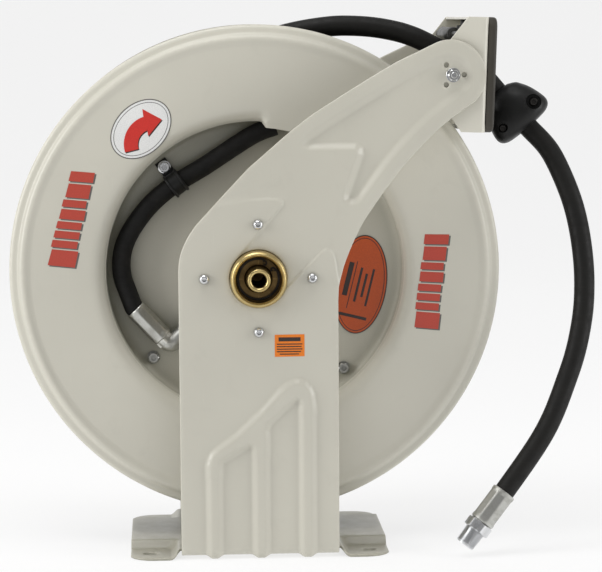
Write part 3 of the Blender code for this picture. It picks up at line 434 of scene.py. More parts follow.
def revolve(profile, at, axis=(0, 1, 0), segments=64, closed=False, radius=0.0, reach=None):
    """Turn (distance, radius) about the axis. reach(angle, distance, r) may bend the radius."""
    if radius:
        if closed:
            ring = [profile[-1]] + list(profile) + [profile[0]]
            profile = rounded_profile(ring, radius)[1:-1]
        else:
            profile = rounded_profile(profile, radius)
    u, v, w = basis(axis)
    at = Vector(at)
    points, faces, rings = [], [], []
    for a, r in profile:
        if r < 1e-6:
            rings.append([len(points)])
            points.append(at + w * a)
            continue
        rings.append(list(range(len(points), len(points) + segments)))
        for k in range(segments):
            t = 2 * math.pi * k / segments
            h, q = (a, r) if reach is None else reach(t, a, r)
            points.append(at + w * h + u * (q * math.cos(t)) + v * (q * math.sin(t)))
    pairs = list(zip(rings, rings[1:]))
    if closed:
        pairs.append((rings[-1], rings[0]))
    for first, second in pairs:
        for k in range(segments):
            n = (k + 1) % segments
            if len(first) == 1 and len(second) == 1:
                continue
            if len(first) == 1:
                faces.append((first[0], second[k], second[n]))
            elif len(second) == 1:
                faces.append((first[k], first[n], second[0]))
            else:
                faces.append((first[k], first[n], second[n], second[k]))
    return points, faces


def hexed(flats):
    """Radius of a hexagon across flats, rounded off where the turning radius is smaller."""

    def reach(t, a, r):
        local = (t + math.pi / 6) % (math.pi / 3) - math.pi / 6
        return a, min(r, flats / 2 / math.cos(local))

    return reach


def nut(low, high, flats, at, axis, bore=0.0, chamfer=1.0):
    """A chamfered hexagon head or nut between two distances along the axis."""
    corner = flats / 2 / math.cos(math.pi / 6) + 0.02
    top = flats / 2 * 0.93
    side = 1 if high > low else -1
    profile = [(low, 0.0), (low, top), (low + side * chamfer, corner), (high - side * chamfer, corner), (high, top)]
    profile += [(high, bore), (high - side * 1.2, bore * 0.9), (high - side * 1.2, 0.0)] if bore else [(high, 0.0)]
    return revolve(profile, at, axis, 72, reach=hexed(flats))


def sweep(path, radius, segments=32, round_start=False, round_end=False, ref=(0, 1, 0), ripple=None):
    path = [Vector(p) for p in path]
    points, rings = [], []
    headings = [(b - a).normalized() for a, b in zip(path, path[1:])]
    side = (Vector(ref) - headings[0] * headings[0].dot(Vector(ref))).normalized()
    length = 0.0

    def ring(centre, direction, r):
        up = direction.cross(side)
        start = len(points)
        for k in range(segments):
            t = 2 * math.pi * k / segments
            q = r if ripple is None else ripple(length, t, r)
            points.append(centre + side * (q * math.cos(t)) + up * (q * math.sin(t)))
        rings.append(list(range(start, start + segments)))

    caps = (85, 70, 50, 30, 12)
    for i, centre in enumerate(path):
        if i:
            length += (centre - path[i - 1]).length
        before = headings[max(i - 1, 0)]
        after = headings[min(i, len(headings) - 1)]
        direction = (before + after).normalized()
        side = (side - direction * side.dot(direction)).normalized()
        if i == 0 and round_start:
            for s in caps:
                ring(centre - direction * radius * math.sin(math.radians(s)), direction, radius * math.cos(math.radians(s)))
        ring(centre, direction, radius)
        if i == len(path) - 1 and round_end:
            for s in reversed(caps):
                ring(centre + direction * radius * math.sin(math.radians(s)), direction, radius * math.cos(math.radians(s)))
    faces = grid_faces(len(rings), segments)
    faces.append(tuple(range(segments)))
    faces.append(tuple(range(len(points) - segments, len(points))))
    return points, faces


def smooth_path(knots, per):
    knots = [Vector(k) for k in knots]
    full = [2 * knots[0] - knots[1]] + knots + [2 * knots[-1] - knots[-2]]
    out = []
    for a, b, c, d in zip(full, full[1:], full[2:], full[3:]):
        for k in range(per):
            t = k / per
            out.append(0.5 * (2 * b + (c - a) * t + (2 * a - 5 * b + 4 * c - d) * t**2 + (3 * b - a - 3 * c + d) * t**3))
    out.append(knots[-1])
    return out


def relaxed(path, rounds=3):
    path = [Vector(p) for p in path]
    for _ in range(rounds):
        path = [path[0]] + [(a + 2 * b + c) / 4 for a, b, c in zip(path, path[1:], path[2:])] + [path[-1]]
    return path


def prism(outline, holes, at, low, high):
    loops = [outline] + list(holes)
    flat = [p for loop in loops for p in loop]
    count = len(flat)
    triangles = tessellate_polygon([[Vector((a, b, 0)) for a, b in loop] for loop in loops])
    points = [at(a, b, low) for a, b in flat] + [at(a, b, high) for a, b in flat]
    faces = [tuple(t) for t in triangles] + [tuple(i + count for i in reversed(t)) for t in triangles]
    start = 0
    for loop in loops:
        n = len(loop)
        for k in range(n):
            i, j = start + k, start + (k + 1) % n
            faces.append((i, j, j + count, i + count))
        start += n
    return points, faces


def xz(a, b, h):
    return Vector((a, h, b))


def yz(a, b, h):
    return Vector((h, a, b))


def xy(a, b, h):
    return Vector((a, b, h))


def circle(ca, cb, r, n=32):
    return [(ca + r * math.cos(2 * math.pi * k / n), cb + r * math.sin(2 * math.pi * k / n)) for k in range(n)]


def arc(ca, cb, r, first, last, n):
    return [
        (ca + r * math.cos(math.radians(first + (last - first) * k / n)), cb + r * math.sin(math.radians(first + (last - first) * k / n)))
        for k in range(n + 1)
    ]


def hub_at(angle, r):
    t = math.radians(angle)
    return r * math.cos(t), AXIS_Z + r * math.sin(t)


# ------------------------------------------------------- pressed sheet metal
def to_segments(points, loop, closed=True):
    """Distance from each point to a loop of segments."""
    a = np.array(loop, float)
    b = np.roll(a, -1, axis=0) if closed else a[1:]
    if not closed:
        a = a[:-1]
    best = np.full(len(points), 1e9)
    for p, q in zip(a, b):
        d = q - p
        t = np.clip(((points - p) @ d) / max(d @ d, 1e-9), 0, 1)
        best = np.minimum(best, np.hypot(*(points - (p + t[:, None] * d)).T))
    return best


def inside(points, loop):
    a = np.array(loop, float)
    b = np.roll(a, -1, axis=0)
    hit = np.zeros(len(points), bool)
    x, y = points[:, 0], points[:, 1]
    for (x1, y1), (x2, y2) in zip(a, b):
        if y1 == y2:
            continue
        crosses = (y1 > y) != (y2 > y)
        hit ^= crosses & (x < (x2 - x1) * (y - y1) / (y2 - y1) + x1)
    return hit


def signed(points, loop):
    d = to_segments(points, loop)
    return np.where(inside(points, loop), -d, d)


def sampled(function, low, high, step=0.9):
    """The same function read off a fine grid, so that a slow one is worked out once."""
    low = np.array(low, float) - 6
    count = np.ceil((np.array(high, float) + 6 - low) / step).astype(int) + 1
    gx, gz = np.meshgrid(low[0] + np.arange(count[0]) * step, low[1] + np.arange(count[1]) * step, indexing="ij")
    table = function(np.stack([gx.ravel(), gz.ravel()], axis=1)).reshape(count)

    def read(points):
        spot = (np.asarray(points, float) - low) / step
        cell = np.clip(spot.astype(int), 0, count - 2)
        f = np.clip(spot - cell, 0, 1)
        i, j = cell[:, 0], cell[:, 1]
        near = table[i, j] * (1 - f[:, 1]) + table[i, j + 1] * f[:, 1]
        far = table[i + 1, j] * (1 - f[:, 1]) + table[i + 1, j + 1] * f[:, 1]
        return near * (1 - f[:, 0]) + far * f[:, 0]

    return read


def soft_step(d, width):
    t = np.clip(0.5 - d / width, 0, 1)
    return t * t * (3 - 2 * t)


def smooth_min(a, b, k):
    h = np.clip(0.5 + 0.5 * (b - a) / k, 0, 1)
    return b * (1 - h) + a * h - k * h * (1 - h)


def inset(loop, distance):
    """Move a counter-clockwise loop inwards."""
    pts = np.array(loop, float)
    before, after = np.roll(pts, 1, axis=0), np.roll(pts, -1, axis=0)
    d1, d2 = pts - before, after - pts
    d1 /= np.maximum(np.hypot(*d1.T), 1e-9)[:, None]
    d2 /= np.maximum(np.hypot(*d2.T), 1e-9)[:, None]
    n = np.stack([-(d1 + d2)[:, 1], (d1 + d2)[:, 0]], axis=1)
    n /= np.maximum(np.hypot(*n.T), 1e-9)[:, None]
    cos = np.maximum((n * np.stack([-d1[:, 1], d1[:, 0]], axis=1)).sum(1), 0.5)
    return pts + n * (distance / cos)[:, None]


def resample(loop, step):
    out = []
    n = len(loop)
    for k in range(n):
        a, b = np.array(loop[k], float), np.array(loop[(k + 1) % n], float)
        count = max(1, int(round(np.hypot(*(b - a)) / step)))
        out += [tuple(a + (b - a) * i / count) for i in range(count)]
    return out


def area(loop):
    a = np.array(loop, float)
    b = np.roll(a, -1, axis=0)
    return 0.5 * (a[:, 0] * b[:, 1] - b[:, 0] * a[:, 1]).sum()


def pressed_sheet(outline, holes, height, lay, thick, edge=0.9, fine=1.1, coarse=4.4, hem=None):
    """A sheet with drawn ribs: height(points) is the relief of its outer face, lay(points, h) puts it in space."""
    loops = []
    for loop in [outline] + list(holes):
        loop = list(loop) if area(loop) > 0 else list(reversed(loop))
        loops.append(loop)
    outer = resample(loops[0], 2.2)
    inner = [resample(l, 1.4) for l in loops[1:]]
    rings = [np.array(outer)] + [np.array(l) for l in inner]
    grown = []
    for index, ring in enumerate(rings):
        sign = 1 if index == 0 else -1
        grown.append([ring, inset(ring, sign * 0.28), inset(ring, sign * edge)])
    low, high = rings[0].min(0), rings[0].max(0)
    height = sampled(height, low, high)

    def to_border(points):
        best = to_segments(points, loops[0])
        for loop in loops[1:]:
            best = np.minimum(best, to_segments(points, loop))
        within = inside(points, loops[0])
        for loop in loops[1:]:
            within &= ~inside(points, loop)
        return np.where(within, best, -best)

    border = sampled(to_border, low, high)

    def lattice(step):
        xs = np.arange(low[0], high[0] + step, step)
        zs = np.arange(low[1], high[1] + step, step * 0.866)
        gx, gz = np.meshgrid(xs, zs)
        gx = gx + (np.arange(len(zs)) % 2)[:, None] * step / 2
        pts = np.stack([gx.ravel(), gz.ravel()], axis=1)
        return pts[border(pts) > edge + step * 0.4]

    small = lattice(fine)
    delta = 0.8
    slope = np.maximum(
        abs(height(small + (delta, 0)) - height(small - (delta, 0))), abs(height(small + (0, delta)) - height(small - (0, delta)))
    )
    bend = abs(height(small + (1.6, 0)) + height(small - (1.6, 0)) + height(small + (0, 1.6)) + height(small - (0, 1.6)) - 4 * height(small))
    busy = (slope > 0.05) | (bend > 0.03)
    small = small[busy]
    large = lattice(coarse)
    if len(small):
        cells = {(int(a // 2), int(b // 2)) for a, b in small}
        large = np.array([p for p in large if (int(p[0] // 2), int(p[1] // 2)) not in cells])
    pts, edges = [], []
    for family in grown:
        for ring in family:
            start = len(pts)
            pts += [tuple(p) for p in ring]
            edges += [(start + k, start + (k + 1) % len(ring)) for k in range(len(ring))]
    pts += [tuple(p) for p in small] + [tuple(p) for p in large]
    if hem is not None:
        pts += hem
    verts, _, faces, *_ = delaunay_2d_cdt([Vector(p) for p in pts], edges, [], 0, 1e-5)
    flat = np.array([(v.x, v.y) for v in verts])
    triangles = np.array([tuple(f) for f in faces])
    centres = flat[triangles].mean(axis=1)
    keep = inside(centres, rings[0])
    for ring in rings[1:]:
        keep &= ~inside(centres, ring)
    triangles = triangles[keep]
    cross = np.cross(flat[triangles[:, 1]] - flat[triangles[:, 0]], flat[triangles[:, 2]] - flat[triangles[:, 0]])
    triangles[cross < 0] = triangles[cross < 0][:, ::-1]
    used = np.unique(triangles)
    remap = -np.ones(len(flat), int)
    remap[used] = np.arange(len(used))
    flat, triangles = flat[used], remap[triangles]
    near = abs(border(flat))
    close = near < edge + 2.0
    exact = to_segments(flat[close], rings[0])
    for ring in rings[1:]:
        exact = np.minimum(exact, to_segments(flat[close], ring))
    near[close] = exact
    t = np.clip(edge - near, 0, edge)
    drop = edge - np.sqrt(np.maximum(edge**2 - t**2, 0))
    relief = height(flat)
    top, bottom = lay(flat, relief - drop), lay(flat, relief - thick + drop)
    count = len(flat)
    directed = {}
    for a, b, c in triangles:
        for i, j in ((a, b), (b, c), (c, a)):
            directed[(i, j)] = True
    sides = [(i, j, j + count, i + count) for i, j in directed if (j, i) not in directed]
    points = [Vector(p) for p in top] + [Vector(p) for p in bottom]
    return points, [tuple(t) for t in triangles] + [tuple(int(i) + count for i in t[::-1]) for t in triangles] + [tuple(int(i) for i in s) for s in sides]


BEND_Z, BEND_R, FLANGE = 9.7, 5.0, 30.0
FOOT = BEND_Z - BEND_R * math.pi / 2 - FLANGE


def arm_outline():
    def curve(points, per):
        return [(p.x, p.y) for p in smooth_path([(a, b, 0) for a, b in points], per)]

    left = curve([(-76, 262), (-75.6, 284), (-71.5, 301), (-62, 318), (-47.6, 334.6), (-9, 375.5)], 6)
    upper = curve([(-9, 375.5), (39.7, 416.9), (75, 440.5), (126, 471.3), (156.3, 486.2)], 6)
    tip = arc(183.6, 461.6, 34.0, 114, -46, 26)
    lower = curve([(185.5, 422.1), (167.2, 406.5), (138.2, 375.7), (106.8, 333.4), (93.5, 310.3), (82.5, 284), (76.6, 262)], 6)
    loop = [(-76, FOOT + 4), (-76, BEND_Z)] + left[:-1] + upper + tip + lower + [(76, 250), (76, BEND_Z), (76, FOOT + 4), (72, FOOT), (-72, FOOT)]
    return loop


ARM = arm_outline()
BAND = [
    (-49.5, 80), (-49.2, 92), (-48.4, 98), (-45.8, 103), (-42, 106.8), (-21.2, 122.2), (1.4, 143.3), (20.3, 164.4), (27.8, 170.2), (33, 172.3), (38, 172.6), (43.5, 170.6),
    (48.3, 165.8), (51, 159.5), (52, 150), (52, 140), (39.7, 140), (39.7, 149), (38.6, 153.8), (35.8, 154.6), (32.5, 152.9), (13.7, 136.0), (9, 131), (7.1, 125), (7.1, 100),
    (-5.2, 100), (-5.4, 106.5), (-7.2, 110), (-10.3, 110.5), (-36.5, 95.5), (-38.2, 91), (-38.2, 80),
]
PADS = [
    (-95, -60), (-95, 329), (-72, 334), (-45, 341.5), (-20, 345.5), (8, 347.2), (19, 346.8), (23.6, 344.5), (23.8, 340.5), (-10, 302), (-18, 292),
    (-12, 271), (14, 262), (23, 258), (60, 295.8), (64, 298.8), (68, 298.3), (71.5, 294), (73.6, 286), (75.2, 274), (84, 240), (95, 200), (95, -60),
]
PANEL = [(43, 620), (43, 404), (44.5, 398.5), (49, 396.3), (93.5, 396.0), (97.8, 393.6), (98.2, 388), (84.8, 350), (84.6, 345.5), (88.5, 343.2), (130, 343.5), (400, 343.5), (400, 620)]


def arm_relief(points):
    """Pressed ribs, the raised pedestal pads and the sunk panel of the upper arm."""
    posts = []
    for x, top, half in ((-43.85, 91, 5.65), (0.95, 120, 6.15), (45.85, 145, 6.15)):
        posts.append(to_segments(points, [(x, -60), (x, top)], False) - half)
    ribs = signed(points, BAND)
    for post in posts:
        ribs = smooth_min(ribs, post, 2.0)
    relief = 3.7 * soft_step(ribs, 7.4)
    pads = signed(points, PADS)
    crisp = np.where(points[:, 1] > 300, np.clip((points[:, 0] + 20) / 30, 0, 1), 1.0)
    relief = relief + 1.5 * (soft_step(pads, 2.4) * crisp + soft_step(pads, 9.0) * (1 - crisp))
    border = to_segments(points, ARM)
    sunk = -smooth_min(border - 15.8, -signed(points, PANEL), 6.0)
    depth = 4.4 - 1.7 * np.clip((points[:, 0] - 110) / 45, 0, 1)
    return relief - depth * soft_step(sunk, 9.0)


def arm_lay(side):
    def lay(points, h):
        x, s = points[:, 0], points[:, 1]
        below = np.maximum(BEND_Z - s, 0)
        a = np.minimum(below / BEND_R, math.pi / 2)
        run = np.maximum(below - BEND_R * math.pi / 2, 0)
        fade = np.clip(1 - run / 10, 0, 1)
        h = np.where(run > 0, np.where(h > 0, h * fade, h), h)
        r = BEND_R + h
        y = -93.0 - r * np.cos(a) + run
        z = np.where(below > 0, BEND_Z - r * np.sin(a), s)
        y = np.where(below > 0, y, -98.0 - h)
        return np.stack([x, -side * y, z], axis=1)

    return lay


END_HOLES = [circle(PIVOT[0], PIVOT[1], 3.4, 20)] + [
    circle(a, b, 2.5, 20) for a, b in ((180.0, 471.5), (180.0, 452.8), (196.8, 462.2))
]
SCREWS = [hub_at(a, 51.5) for a in (0, 90, 180, 270)]
HEM = [(x, BEND_Z - BEND_R * math.radians(a)) for a in range(0, 91, 9) for x in range(-72, 73, 8)]
piece(
    "arm_pressing_front",
    pressed_sheet(ARM, [circle(0, AXIS_Z, 27.6, 72)] + [circle(a, b, 3.3, 20) for a, b in SCREWS] + END_HOLES, arm_relief, arm_lay(-1), 2.5, hem=HEM),
    PAINT, "frame", ["front_arm"], 50,
)
piece(
    "arm_pressing_rear",
    pressed_sheet(ARM, [circle(0, AXIS_Z, 12.6, 40)] + END_HOLES, arm_relief, arm_lay(1), 2.5, hem=HEM),
    PAINT, "frame", ["rear_arm"], 50,
)


# ------------------------------------------------------------------------ base
def base_outline():
    corner = [(78, 93.5), (81, 96.2), (84, 99.6), (87, 101), (103, 101), (110, 100), (117, 96.5), (122, 91.5), (125, 85)]
    side = [(125, 62), (125, 50), (125, 0)]
    quarter = [(x, y) for x, y in reversed(corner + side)]
    one = [(125, 0)] + [(125, 50), (125, 62)] + list(reversed(corner))
    top = one + [(-x, y) for x, y in reversed(one)]
    bottom = [(-x, -y) for x, y in top]
    loop = []
    for p in top + bottom:
        if not loop or math.hypot(p[0] - loop[-1][0], p[1] - loop[-1][1]) > 0.5:
            loop.append(p)
    if math.hypot(loop[0][0] - loop[-1][0], loop[0][1] - loop[-1][1]) < 0.5:
        loop.pop()
    return loop


def base_height(points):
    x, y = abs(points[:, 0]), abs(points[:, 1])
    foot = np.stack([x, y], axis=1)
    zone = np.maximum(82.0 - foot[:, 0], 54.0 - foot[:, 1])
    corner = (foot[:, 0] < 82.0 + 6) & (foot[:, 1] < 54.0 + 6)
    a, b = 82.0 - foot[:, 0], 54.0 - foot[:, 1]
    zone = -smooth_min(-a, -b, 7.0)
    return 2.5 + 7.5 * (1 - soft_step(zone, 9.0))


def base_lay(points, h):
    delta = 0.4
    gx = (base_height(points + (delta, 0)) - base_height(points - (delta, 0))) / (2 * delta)
    gy = (base_height(points + (0, delta)) - base_height(points - (0, delta))) / (2 * delta)
    n = np.stack([-gx, -gy, np.ones(len(points))], axis=1)
    n /= np.linalg.norm(n, axis=1)[:, None]
    surface = base_height(points)
    depth = surface - h
    out = np.stack([points[:, 0], points[:, 1], surface], axis=1) - n * depth[:, None]
    out[:, 2] = np.maximum(out[:, 2], 0.0)
    return out


SLOTS = []
for sx in (-1, 1):
    for sy in (-1, 1):
        SLOTS.append(arc(sx * 106 + 2.5, sy * 79, 4.5, -90, 90, 12) + arc(sx * 106 - 2.5, sy * 79, 4.5, 90, 270, 12))
piece("base_pressing", pressed_sheet(base_outline(), SLOTS, base_height, base_lay, 2.5, coarse=6.0), SHADED_BASE_PAINT, "frame", ["base_plate"], 50)

# ------------------------------------------------------------------------ drum
RIM_FACE = [(218.0, -34.0), (220.5, -34.2), (223.0, -35.2), (225.0, -35.9), (227.0, -36.0), (229.0, -35.3), (230.4, -33.6), (231.6, -31.8), (233.0, -31.1), (235.5, -30.9), (237.6, -30.4), (239.2, -29.2), (240.0, -27.6), (239.9, -26.4)]
RIM_BACK = [(238.6, -26.6), (238.2, -27.8), (237.0, -28.8), (235.0, -29.4), (232.8, -29.6), (230.8, -30.6), (229.4, -32.4), (228.2, -33.8), (226.6, -34.4), (224.6, -34.2), (222.6, -33.4), (220.0, -32.7), (218.0, -32.5)]
FACE = [(145.7, -12.0), (145.8, -18.0), (146.2, -22.0), (147.1, -25.4), (148.7, -28.4), (151.0, -31.0), (154.0, -32.9), (157.6, -33.8), (162.0, -34.1), (186.0, -34.15)] + RIM_FACE
BACK = RIM_BACK + [(162.0, -32.5), (157.9, -32.2), (154.7, -31.4), (152.1, -29.9), (150.0, -27.6), (148.6, -24.9), (147.8, -21.8), (147.4, -18.0), (147.3, -12.0)]
BACK_POINTS = {(a, r) for r, a in BACK}


def front_reach(t, a, r):
    """The rounded mouth flattens into a tab over the hose slot. t is measured from the top, towards +x."""
    if r > 161:
        return a, r
    angle = (90 - math.degrees(t) + 180) % 360 - 180
    k = max(0.0, min(1.0, (angle - 52) / 3.0, (87.5 - angle) / 2.2))
    k = k * k * (3 - 2 * k)
    if k <= 0:
        return a, r
    flat_a = -32.7 if (a, r) in BACK_POINTS else -33.95
    flat_r = 161.0 - (161.0 - r) / 15.3 * 20.6
    return a + (flat_a - a) * k, r + (flat_r - r) * k


piece("disc_pressing_front", revolve([(a, r) for r, a in FACE + BACK], HUB, segments=240, closed=True, reach=front_reach), DRUM_PAINT, "drum", ["front_disc"], 40)
REAR_FACE = [(20.6, 47.5)] + [(r, a) for r, a in ((60, 47.5), (110, 47.55), (118, 46.9), (150, 46.9), (158, 47.5), (218.0, 47.5), (220.5, 47.7), (223.0, 48.7), (225.0, 49.4), (227.0, 49.5), (229.0, 48.8), (230.4, 47.1), (231.6, 45.3), (233.0, 44.6), (235.5, 44.4), (237.6, 43.9), (239.2, 42.7), (240.0, 41.1), (239.9, 39.9))]
REAR_BACK = [(238.6, 40.1), (238.2, 41.3), (237.0, 42.3), (235.0, 42.9), (232.8, 43.1), (230.8, 44.1), (229.4, 45.9), (228.2, 47.3), (226.6, 47.9), (224.6, 47.7), (222.6, 46.9), (220.0, 46.2), (218.0, 46.0), (20.6, 46.0)]
piece("disc_pressing_rear", revolve([(a, r) for r, a in REAR_FACE + REAR_BACK], HUB, segments=200, closed=True), DRUM_PAINT, "drum", ["rear_disc"], 40)
piece(
    "barrel_shell",
    revolve([(-24.8, 146.4), (-24.8, 148.4), (45.7, 148.4), (45.7, 146.4), (4.6, 146.4), (4.6, 124.0), (2.3, 124.0), (2.3, 146.4)], HUB, segments=200, closed=True, radius=0.9),
    DRUM_PAINT, "drum", ["drum_barrel"], 40,
)
piece(
    "cover_pressing",
    revolve([(0.3, 10.2), (-0.2, 11.5), (0.0, 18.0), (0.0, 92.0), (0.35, 95.0), (0.35, 118.0), (0.0, 121.0), (-0.1, 138.0), (-0.5, 141.2), (-1.6, 143.8), (-3.4, 145.5), (-6.0, 146.2), (-11.0, 146.3), (-11.0, 147.2), (2.0, 147.2), (2.0, 10.2)], HUB, segments=200, closed=True),
    SHADED_COVER_PAINT, "drum", ["spring_cover"], 40,
)


def wound_hose():
    """Four turns of the outer layer laid side by side, over a scalloped body of buried turns."""
    low, radius, centre = -28.0, 9.3, 197.2
    path = []
    per = 90
    for k in range(int(per * 3.55) + 1):
        t = 2 * math.pi * k / per
        y = low + 8.0 + (54.0) * k / (per * 3.55)
        path.append((centre * math.cos(t + 1.0), y, AXIS_Z + centre * math.sin(t + 1.0)))
    outer = sweep(path, radius, 16, True, True)
    loop = [(-30.3, 152.8)]
    for turn in range(4):
        for k in range(9):
            t = math.pi * k / 8
            loop.append((-30.3 + 18.6 * (turn + k / 8), 186.0 + 6.0 * math.sin(t)))
    loop.append((44.1, 152.8))
    return join(outer, revolve(loop, HUB, segments=140, closed=True))


piece("hose_windings", wound_hose(), HOSE, "drum", ["hose_coil"], 50)

# ------------------------------------------------------------------- swivel
piece(
    "swivel_turning",
    revolve(
        [(-0.5, 0), (-0.5, 26.0), (-29.0, 26.0), (-31.5, 19.0), (-81.0, 19.0), (-82.0, 27.0), (-98.0, 27.0), (-98.6, 26.3), (-99.8, 26.3), (-100.4, 27.0), (-108.2, 27.0), (-110.2, 26.4), (-111.4, 25.4), (-112.0, 24.7), (-112.0, 23.6), (-111.2, 23.0), (-110.4, 22.7), (-110.0, 21.9), (-106.0, 21.1), (-103.4, 20.9), (-103.4, 21.7), (-101.8, 21.7), (-101.8, 20.8), (-92.0, 20.8), (-92.0, 13.1), (-60.2, 13.1), (-60.2, 0)],
        HUB, segments=128, radius=0.35,
    ),
    [BRASS, DARK_BRASS], "drum", ["swivel_body"], 40,
)
darken("swivel_turning", HUB, (0, 1, 0), 22.3, -111.9)
piece("dust_washer", revolve([(-99.8, 13.3), (-99.8, 20.4), (-98.2, 20.4), (-98.2, 13.3)], HUB, segments=96, closed=True, radius=0.35), DARK_BRASS, "drum", ["retaining_washer"], 40)


def snap_ring():
    outer = arc(0, AXIS_Z, 20.5, 76, 384, 70)
    inner = arc(0, AXIS_Z, 18.3, 384, 76, 70)
    first = hub_at(391, 16.3)
    second = hub_at(69, 16.3)
    ear = arc(first[0], first[1], 2.8, 31, 211, 10)
    other = arc(second[0], second[1], 2.8, 249, 429, 10)
    return prism(outer + ear + inner + other, [list(reversed(circle(first[0], first[1], 1.1, 14))), list(reversed(circle(second[0], second[1], 1.1, 14)))], xz, -101.6, -100.2)


piece("snap_ring", snap_ring(), SPRING, "drum", ["circlip"], 35, 0.25)
piece(
    "inlet_turning",
    revolve(
        [(-61.0, 0), (-61.0, 12.6), (-96.0, 12.6), (-97.2, 12.6), (-100.0, 12.3), (-104.0, 12.2), (-107.0, 12.1), (-108.2, 11.6), (-112.0, 11.4), (-115.4, 11.3), (-117.2, 10.9), (-118.3, 10.1), (-118.5, 9.2), (-118.3, 8.3), (-117.4, 7.3), (-115.5, 6.6), (-100.0, 6.3), (-66.0, 6.3), (-66.0, 0)],
        HUB, segments=96, radius=0.3,
    ),
    [BRASS, DARK_BRASS], "inlet", ["inlet_stem"], 45,
)
darken("inlet_turning", HUB, (0, 1, 0), 7.2, -118.0)


def button_screw(x, z, face):
    """A domed head with a hexagon socket and a thin washer lip."""

    def socket(t, a, r):
        if r < 2.4:
            local = (t + math.pi / 6) % (math.pi / 3) - math.pi / 6
            return a, r * 0.88 / math.cos(local)
        return a, r

    profile = [(face + 10, 0), (face + 10, 2.9), (face - 0.3, 2.9), (face - 0.3, 4.9), (face - 0.9, 5.05), (face - 2.0, 4.8), (face - 3.2, 4.2), (face - 4.1, 3.3), (face - 4.6, 2.5), (face - 4.55, 2.25), (face - 2.4, 2.1), (face - 2.2, 0)]
    return revolve(profile, (x, 0, z), segments=48, reach=socket)


for index, (sx, sz) in enumerate(SCREWS, 1):
    piece(f"button_screw_{index}", button_screw(sx, sz, -98.0 - 1.45), ZINC, "frame", [f"hub_screw_{index}"], 40)

COVER_SCREWS = [hub_at(a, 134.0) for a in (41.0, 131.0, 221.0, 311.0)]
for index, (sx, sz) in enumerate(COVER_SCREWS, 1):
    seat = -3.0 if index == 2 else -0.35
    shape = join(
        revolve([(seat + 8.0, 0), (seat + 8.0, 2.8), (seat, 2.8), (seat, 6.3), (seat - 0.35, 6.5), (seat - 0.9, 6.4), (seat - 1.1, 6.0), (seat - 1.1, 0)], (sx, 0, sz), segments=48),
        nut(seat - 1.1, seat - 5.0, 9.6, (sx, 0, sz), (0, 1, 0), 2.6, 0.7),
    )
    piece(f"washer_screw_{index}", shape, ZINC if index == 2 else DULL_ZINC, "drum", [f"cover_screw_{index}"], 32)

# ----------------------------------------------------- outlet pipe and pigtail
PIGTAIL_Y = -12.5
ELBOW = Vector((-84.0, PIGTAIL_Y, 196.5))
TO_HUB = Vector((0.748, 0.0, 0.664)).normalized()
TO_HOSE = Vector((-0.687, 0.0, 0.727)).normalized()
START = ELBOW + TO_HOSE * 11.0
piece(
    "outlet_tube",
    join(sweep([Vector((0, PIGTAIL_Y, AXIS_Z)) - TO_HUB * 27, ELBOW + TO_HUB * 20.2], 7.6, 32), nut(27.0, 36.0, 19.0, ELBOW, TO_HUB, 0.0, 1.0)),
    ZINC, "drum", ["outlet_pipe"], 32,
)


def elbow():
    legs = [ELBOW + TO_HUB * (20.0 - 2 * k) for k in range(6)]
    turn = []
    a, b, c = ELBOW + TO_HUB * 8, ELBOW, ELBOW + TO_HOSE * 8
    for k in range(9):
        t = k / 8
        turn.append(a * (1 - t) ** 2 + b * 2 * t * (1 - t) + c * t**2)
    path = legs + turn + [ELBOW + TO_HOSE * 10.8]
    body = sweep(path, 9.2, 32)
    collar = revolve([(17.0, 0), (17.0, 10.0), (17.6, 10.5), (25.6, 10.5), (26.2, 10.0), (26.2, 0)], ELBOW, TO_HUB, 48, radius=0.4)
    flats = nut(4.6, 11.2, 17.4, ELBOW, TO_HOSE, 0.0, 0.7)
    return join(body, collar, flats)


piece("elbow_forging", elbow(), SATIN, "drum", ["outlet_elbow"], 32)


def crimped(start, way, length, low, high, jaws=8, segments=96):
    """A swaged ferrule: plain collar, then a waist pressed by the jaws into shallow flats, then a bell mouth."""

    def reach(t, a, r):
        if 0.12 * length < a < 0.88 * length and r > low:
            local = (t * jaws / (2 * math.pi)) % 1.0 - 0.5
            return a, min(r, (high - 0.62) / math.cos(local * 2 * math.pi / jaws))
        return a, r

    profile = [(0, low), (0, high - 0.7), (0.7, high), (0.09 * length, high), (0.13 * length, high), (0.16 * length, high - 0.1), (0.84 * length, high - 0.1), (0.87 * length, high), (0.91 * length, high), (length - 0.8, high), (length, high - 0.6), (length, low)]
    return revolve(profile, start, way, segments, closed=True, reach=reach)


piece("pigtail_crimp", crimped(START, TO_HOSE, 39.0, 9.35, 10.4), SATIN, "drum", ["pigtail_ferrule"], 25)
PIGTAIL = [START + TO_HOSE * 41.0] + [
    Vector((x, PIGTAIL_Y, z))
    for x, z in ((-125.2, 249.5), (-130.4, 264.9), (-131.2, 281.8), (-127.3, 298.8), (-116.8, 317.6), (-99.8, 338.2), (-76.6, 356.6), (-49.1, 372.8), (-14.5, 395.2), (3.6, 405.6), (21.0, 411.8))
]
pigtail_path = [START + TO_HOSE * 3.0, START + TO_HOSE * 20.0, START + TO_HOSE * 36.0] + relaxed(smooth_path(PIGTAIL, 8), 3)
piece("pigtail_hose_cover", sweep(pigtail_path, 9.25, 40), PIGTAIL_HOSE, "drum", ["pigtail_hose"], 50)


